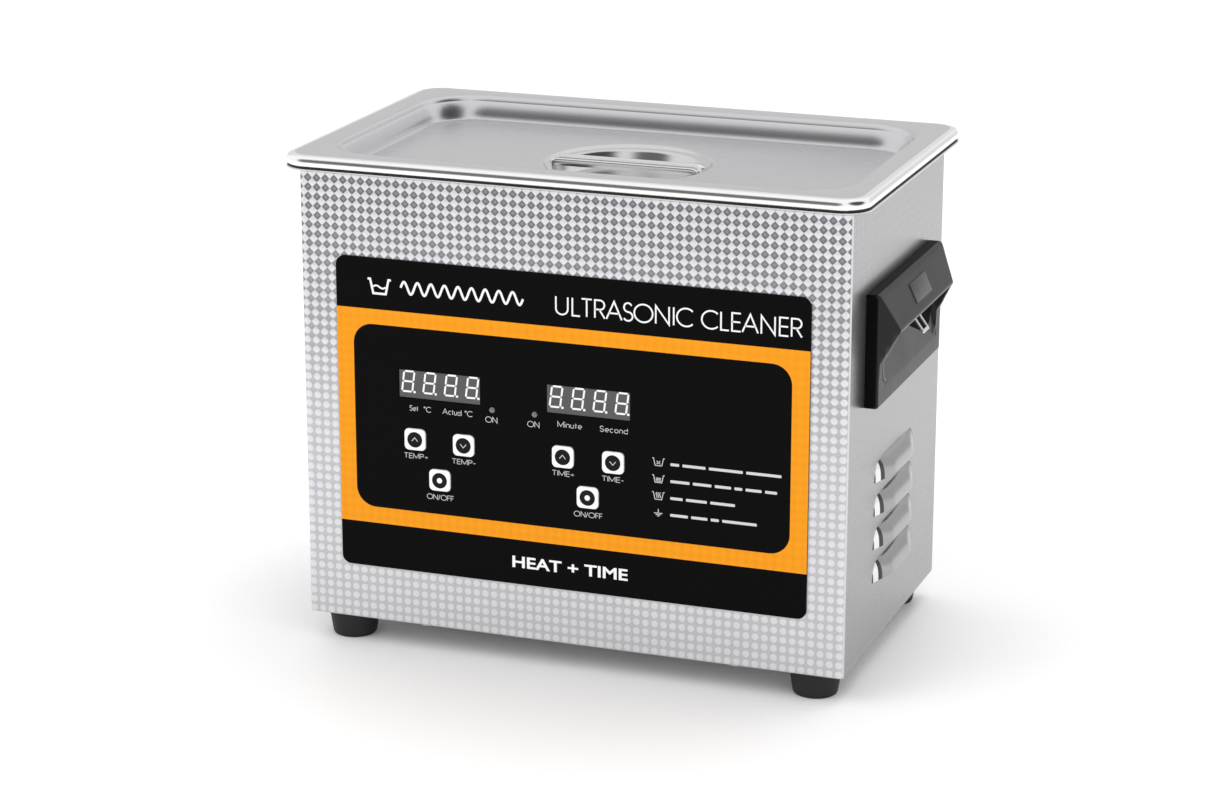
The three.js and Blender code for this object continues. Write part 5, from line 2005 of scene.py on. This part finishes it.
# ---------------------------------------------------------------- rear and inside
@dataclass
class Rear:
    """The fan, mains entry, switch, earth stud and rating plate on the back."""

    fan_x: float = 72.0
    fan_z: float = 66.0
    rotor: float = 26.6
    blades: int = 7

    def guard(self) -> Shape:
        """The wire guard over the fan."""
        shape = Shape()
        x, z = self.fan_x, self.fan_z
        for radius in (6.0, 11.5, 17.0, 22.5, 28.0):
            ring = [(x + radius * math.cos(TAU * k / 56), 75.9, z + radius * math.sin(TAU * k / 56))
                    for k in range(56)]
            shape.tube(ring, 0.7, 8, loop=True)
        for k in range(4):
            angle = math.pi / 4 + k * math.pi / 2
            c, s = math.cos(angle), math.sin(angle)
            path = [(x + r * c, y, z + r * s) for r, y in ((4.0, 75.2), (18.0, 75.0), (28.0, 75.0),
                                                           (31.5, 75.0))]
            shape.tube(path, 0.7, 8)
            ex, ez = x + 25 * math.copysign(1, c), z + 25 * math.copysign(1, s)
            eye = [(ex + 3.0 * math.cos(TAU * j / 20), 75.0, ez + 3.0 * math.sin(TAU * j / 20))
                   for j in range(20)]
            shape.tube(eye, 0.7, 8, loop=True)
            shape.turned([(0.02, 76.6), (1.6, 76.5), (2.2, 76.0), (2.4, 75.3), (2.4, 74.0), (0.02, 74.0)],
                         (ex, 0, ez), Axis.Y, 20)
        return shape

    def blades_and_hub(self) -> Shape:
        """The rotor with its twisted blades."""
        shape = Shape()
        x, z = self.fan_x, self.fan_z
        shape.turned([(0.02, 56.0), (10.2, 56.0), (11.0, 56.8), (11.0, 69.2), (10.2, 70.0), (0.02, 70.0)],
                     (x, 0, z), Axis.Y, 40)
        for blade in range(self.blades):
            rings = []
            for step in range(7):
                share = step / 6
                radius = 10.5 + (self.rotor - 10.5) * share
                pitch = math.radians(56 - 22 * share)
                sweep = TAU * blade / self.blades + 0.22 * share
                ring = []
                for along, thick in ((-5.4, 0.0), (-2.5, 0.62), (1.5, 0.7), (5.4, 0.0), (1.5, -0.5),
                                     (-2.5, -0.4)):
                    round_by = (along * math.cos(pitch) - thick * math.sin(pitch)) / radius
                    y = 63.4 + along * math.sin(pitch) + thick * math.cos(pitch)
                    angle = sweep + round_by
                    ring.append((x + radius * math.cos(angle), y, z + radius * math.sin(angle)))
                rings.append(ring)
            shape.loft(rings)
        return shape

    def build(self, shop: Workshop) -> None:
        """Makes the rear fittings.

        Args:
            shop: Where the pieces go.
        """
        shop.refine("fan_frame", "housing", FAN_PLASTIC, bevel=0.4)
        shop.place(self.guard(), "fan_wire_guard", "housing", "polished_steel", POLISHED,
                   replaces=("fan_guard",),
                   smooth=60)
        shop.place(self.blades_and_hub(), "fan_blades", "rotor", "black_plastic", FAN_PLASTIC,
                   replaces=("fan_rotor",), smooth=40)
        shop.refine("mains_inlet", "housing", BLACK_PLASTIC, bevel=0.5)
        shop.refine("fuse_drawer", "fuse_carrier", BLACK_PLASTIC, bevel=0.3)
        shop.refine("switch_body", "housing", BLACK_PLASTIC, bevel=0.4)
        shop.refine("switch_rocker", "rocker", BLACK_PLASTIC, bevel=0.5)
        shop.refine("earth_stud", "housing", BRASS, bevel=0.2)
        shop.dress(FUSE_GLASS, "fuse")
        pins = Shape()
        for dx, dz in ((-7, -2), (0, -6), (7, -2)):
            pins.block((-70 + dx - 1.02, 59.5, 48 + dz - 2.02), (-70 + dx + 1.02, 71.1, 48 + dz + 2.02))
        shop.place(pins, "mains_inlet_pins", "housing", "brass", ZINC, bevel=0.3)
        marks = Shape()
        tilt = Matrix.Translation((-70, 73.6, 92)) @ Matrix.Rotation(math.radians(12), 4, "X")
        flat = Shape().block((-0.35, 4.02, 4.4), (0.35, 4.2, 7.4))
        ring = [(1.5 * math.cos(TAU * k / 24), 4.1, -5.9 + 1.5 * math.sin(TAU * k / 24))
                for k in range(24)]
        flat.tube(ring, 0.22, 6, loop=True)
        marks.joined(flat.moved(tilt))
        shop.place(marks, "rocker_marks", "rocker", "key_plastic", PRINT_WHITE)
        plate = Shape().pushed(rounded(30, 17, 1.5, 5, centre=(0, 112)), 73.95, 74.16)
        shop.place(plate, "rating_plate_blank", "housing", "label_film", PLATE_SILVER)
        lines = Shape()
        for row, (start, length) in enumerate(((-26, 30), (-26, 44), (-26, 38), (-26, 50), (-26, 24))):
            lines.block((start, 74.1, 121.5 - row * 5.2), (start + length, 74.22, 122.9 - row * 5.2))
        shop.place(lines, "rating_plate_bars", "housing", "label_film", KEY_INK)


@dataclass
class Inside:
    """What the case hides: drivers, heater, boards and wiring keep their own shapes."""

    finishes: dict[Finish, tuple[str, ...]] = field(default_factory=lambda: {
        ALUMINIUM: ("transducer_front_mass_left", "transducer_front_mass_right", "heat_sink"),
        CERAMIC: ("transducer_piezo_left", "transducer_piezo_right"),
        ZINC: ("transducer_back_mass_left", "transducer_back_mass_right", "transducer_bolt_left",
               "transducer_bolt_right"),
        SILICONE: ("heater_pad",),
        COPPER: ("temperature_sensor", "output_transformer"),
        CIRCUIT: ("generator_board", "display_board"),
        BLACK_PLASTIC: ("filter_capacitor",),
        RELAY_BLUE: ("relay",),
        RIBBON_GREY: ("ribbon_cable",),
    })

    def build(self, shop: Workshop) -> None:
        """Finishes the inner nodes."""
        for finish, nodes in self.finishes.items():
            shop.dress(finish, *nodes)


# ---------------------------------------------------------------- studio
@dataclass(frozen=True)
class Patch:
    """A soft patch of the studio that shiny surfaces see."""

    towards: Point
    inner: float
    outer: float
    level: float


@dataclass
class Studio:
    """The pale floor, the soft light all round, and the camera."""

    ambient: float = 1.1
    shine: float = 1.0
    patches: tuple[Patch, ...] = (
        Patch((-0.33, -0.84, 0.43), 0.96, 0.81, 0.16),
        Patch((0.80, -0.20, 0.55), 0.93, 0.80, 0.06),
        Patch((-0.45, 0.86, 0.27), 0.96, 0.80, 0.76),
        Patch((0.42, 0.90, 0.11), 0.98, 0.90, 0.75),
    )
    floor_half: float = 9.0
    lens: float = 98.02
    sensor: float = 36.0
    eye: Point = (0.4842, -1.3484, 0.5302)
    azimuth: float = 20.122
    elevation: float = 16.676

    def sky(self) -> None:
        """Makes the world: even for matte surfaces, with soft patches for shiny ones."""
        world = bpy.data.worlds.new("studio_air")
        bpy.context.scene.world = world
        graph = Graph(world)
        coordinates = graph.node("ShaderNodeTexCoord", {}, {})
        direction = graph.node(
            "ShaderNodeVectorMath", {"operation": "NORMALIZE"}, {0: coordinates.outputs["Generated"]}
        ).outputs[0]
        shine: Input = (self.shine, self.shine, self.shine)
        for patch in self.patches:
            aim = tuple(Vector(patch.towards).normalized())
            facing = graph.node("ShaderNodeVectorMath", {"operation": "DOT_PRODUCT"},
                                {0: direction, 1: aim})
            share = Value(graph, facing.outputs[1]).smooth(patch.outer, patch.inner)
            shine = graph.mix(share, shine, grey(patch.level))
        rays = graph.node("ShaderNodeLightPath", {}, {})
        glossy = Value(graph, rays.outputs["Is Glossy Ray"])
        camera = Value(graph, rays.outputs["Is Camera Ray"])
        even = graph.mix(camera, grey(self.ambient), grey(1.0))
        seen = graph.mix(glossy, even, shine)
        background = graph.node("ShaderNodeBackground", {}, {"Color": seen, "Strength": 1.0})
        graph.node("ShaderNodeOutputWorld", {}, {0: background.outputs[0]})

    def floor(self) -> None:
        """Makes the floor."""
        half = self.floor_half
        mesh = bpy.data.meshes.new("studio_floor")
        mesh.from_pydata([(-half, -half, 0), (half, -half, 0), (half, half, 0),
                          (-half, half, 0)], [], [(0, 1, 2, 3)])
        finish = Moulded("floor_white", grey(0.95), 0.45, 4.0, 0.0, 0.005, 0.15)
        mesh.materials.append(finish.material())
        floor = bpy.data.objects.new("studio_floor", mesh)
        bpy.context.scene.collection.objects.link(floor)

    def lamp(self, name: str, at: Point, size: float, power: float) -> None:
        """Adds a soft lamp that faces the cleaner.

        Args:
            name: Its name.
            at: Where it is, in metres.
            size: Its side, in metres.
            power: Its power in watts.
        """
        data = bpy.data.lights.new(name, "AREA")
        data.shape = "DISK"
        data.size = size
        data.energy = power
        lamp = bpy.data.objects.new(name, data)
        lamp.visible_glossy = False
        lamp.location = at
        lamp.rotation_mode = "QUATERNION"
        lamp.rotation_quaternion = (Vector((0, 0, 0.11)) - Vector(at)).to_track_quat("-Z", "Y")
        bpy.context.scene.collection.objects.link(lamp)

    def camera(self) -> None:
        """Makes the camera."""
        data = bpy.data.cameras.new("viewpoint")
        data.lens = self.lens
        data.sensor_width = self.sensor
        data.clip_start = 0.05
        data.clip_end = 60.0
        camera = bpy.data.objects.new("viewpoint", data)
        camera.location = self.eye
        turn, dip = math.radians(self.azimuth), math.radians(self.elevation)
        ahead = Vector((-math.sin(turn) * math.cos(dip), math.cos(turn) * math.cos(dip), -math.sin(dip)))
        camera.rotation_mode = "QUATERNION"
        camera.rotation_quaternion = ahead.to_track_quat("-Z", "Y")
        bpy.context.scene.collection.objects.link(camera)
        bpy.context.scene.camera = camera

    def build(self) -> None:
        """Makes the whole studio."""
        bpy.context.scene.view_settings.view_transform = "Standard"
        self.sky()
        self.floor()
        self.lamp("key_lamp", (-1.5, -1.9, 2.3), 1.8, 14.0)
        self.lamp("top_lamp", (0.5, 0.6, 2.6), 1.4, 10.0)
        self.camera()


def main() -> None:
    """Builds the cleaner round its frame, and the studio round the cleaner."""
    logging.basicConfig(level=logging.INFO, format="%(name)s: %(message)s")
    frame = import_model()
    shop = Workshop(frame)
    for assembly in (Housing(), Feet(), Tank(), Lid(), Basket(), Label(), Keys(), Displays(), Handles(),
                     Rear(),
                     Inside()):
        assembly.build(shop)
        LOG.info("%s is done, %d pieces so far", type(assembly).__name__, shop.count)
    Studio().build()
    bpy.context.view_layer.update()


if __name__ == "__main__":
    main()
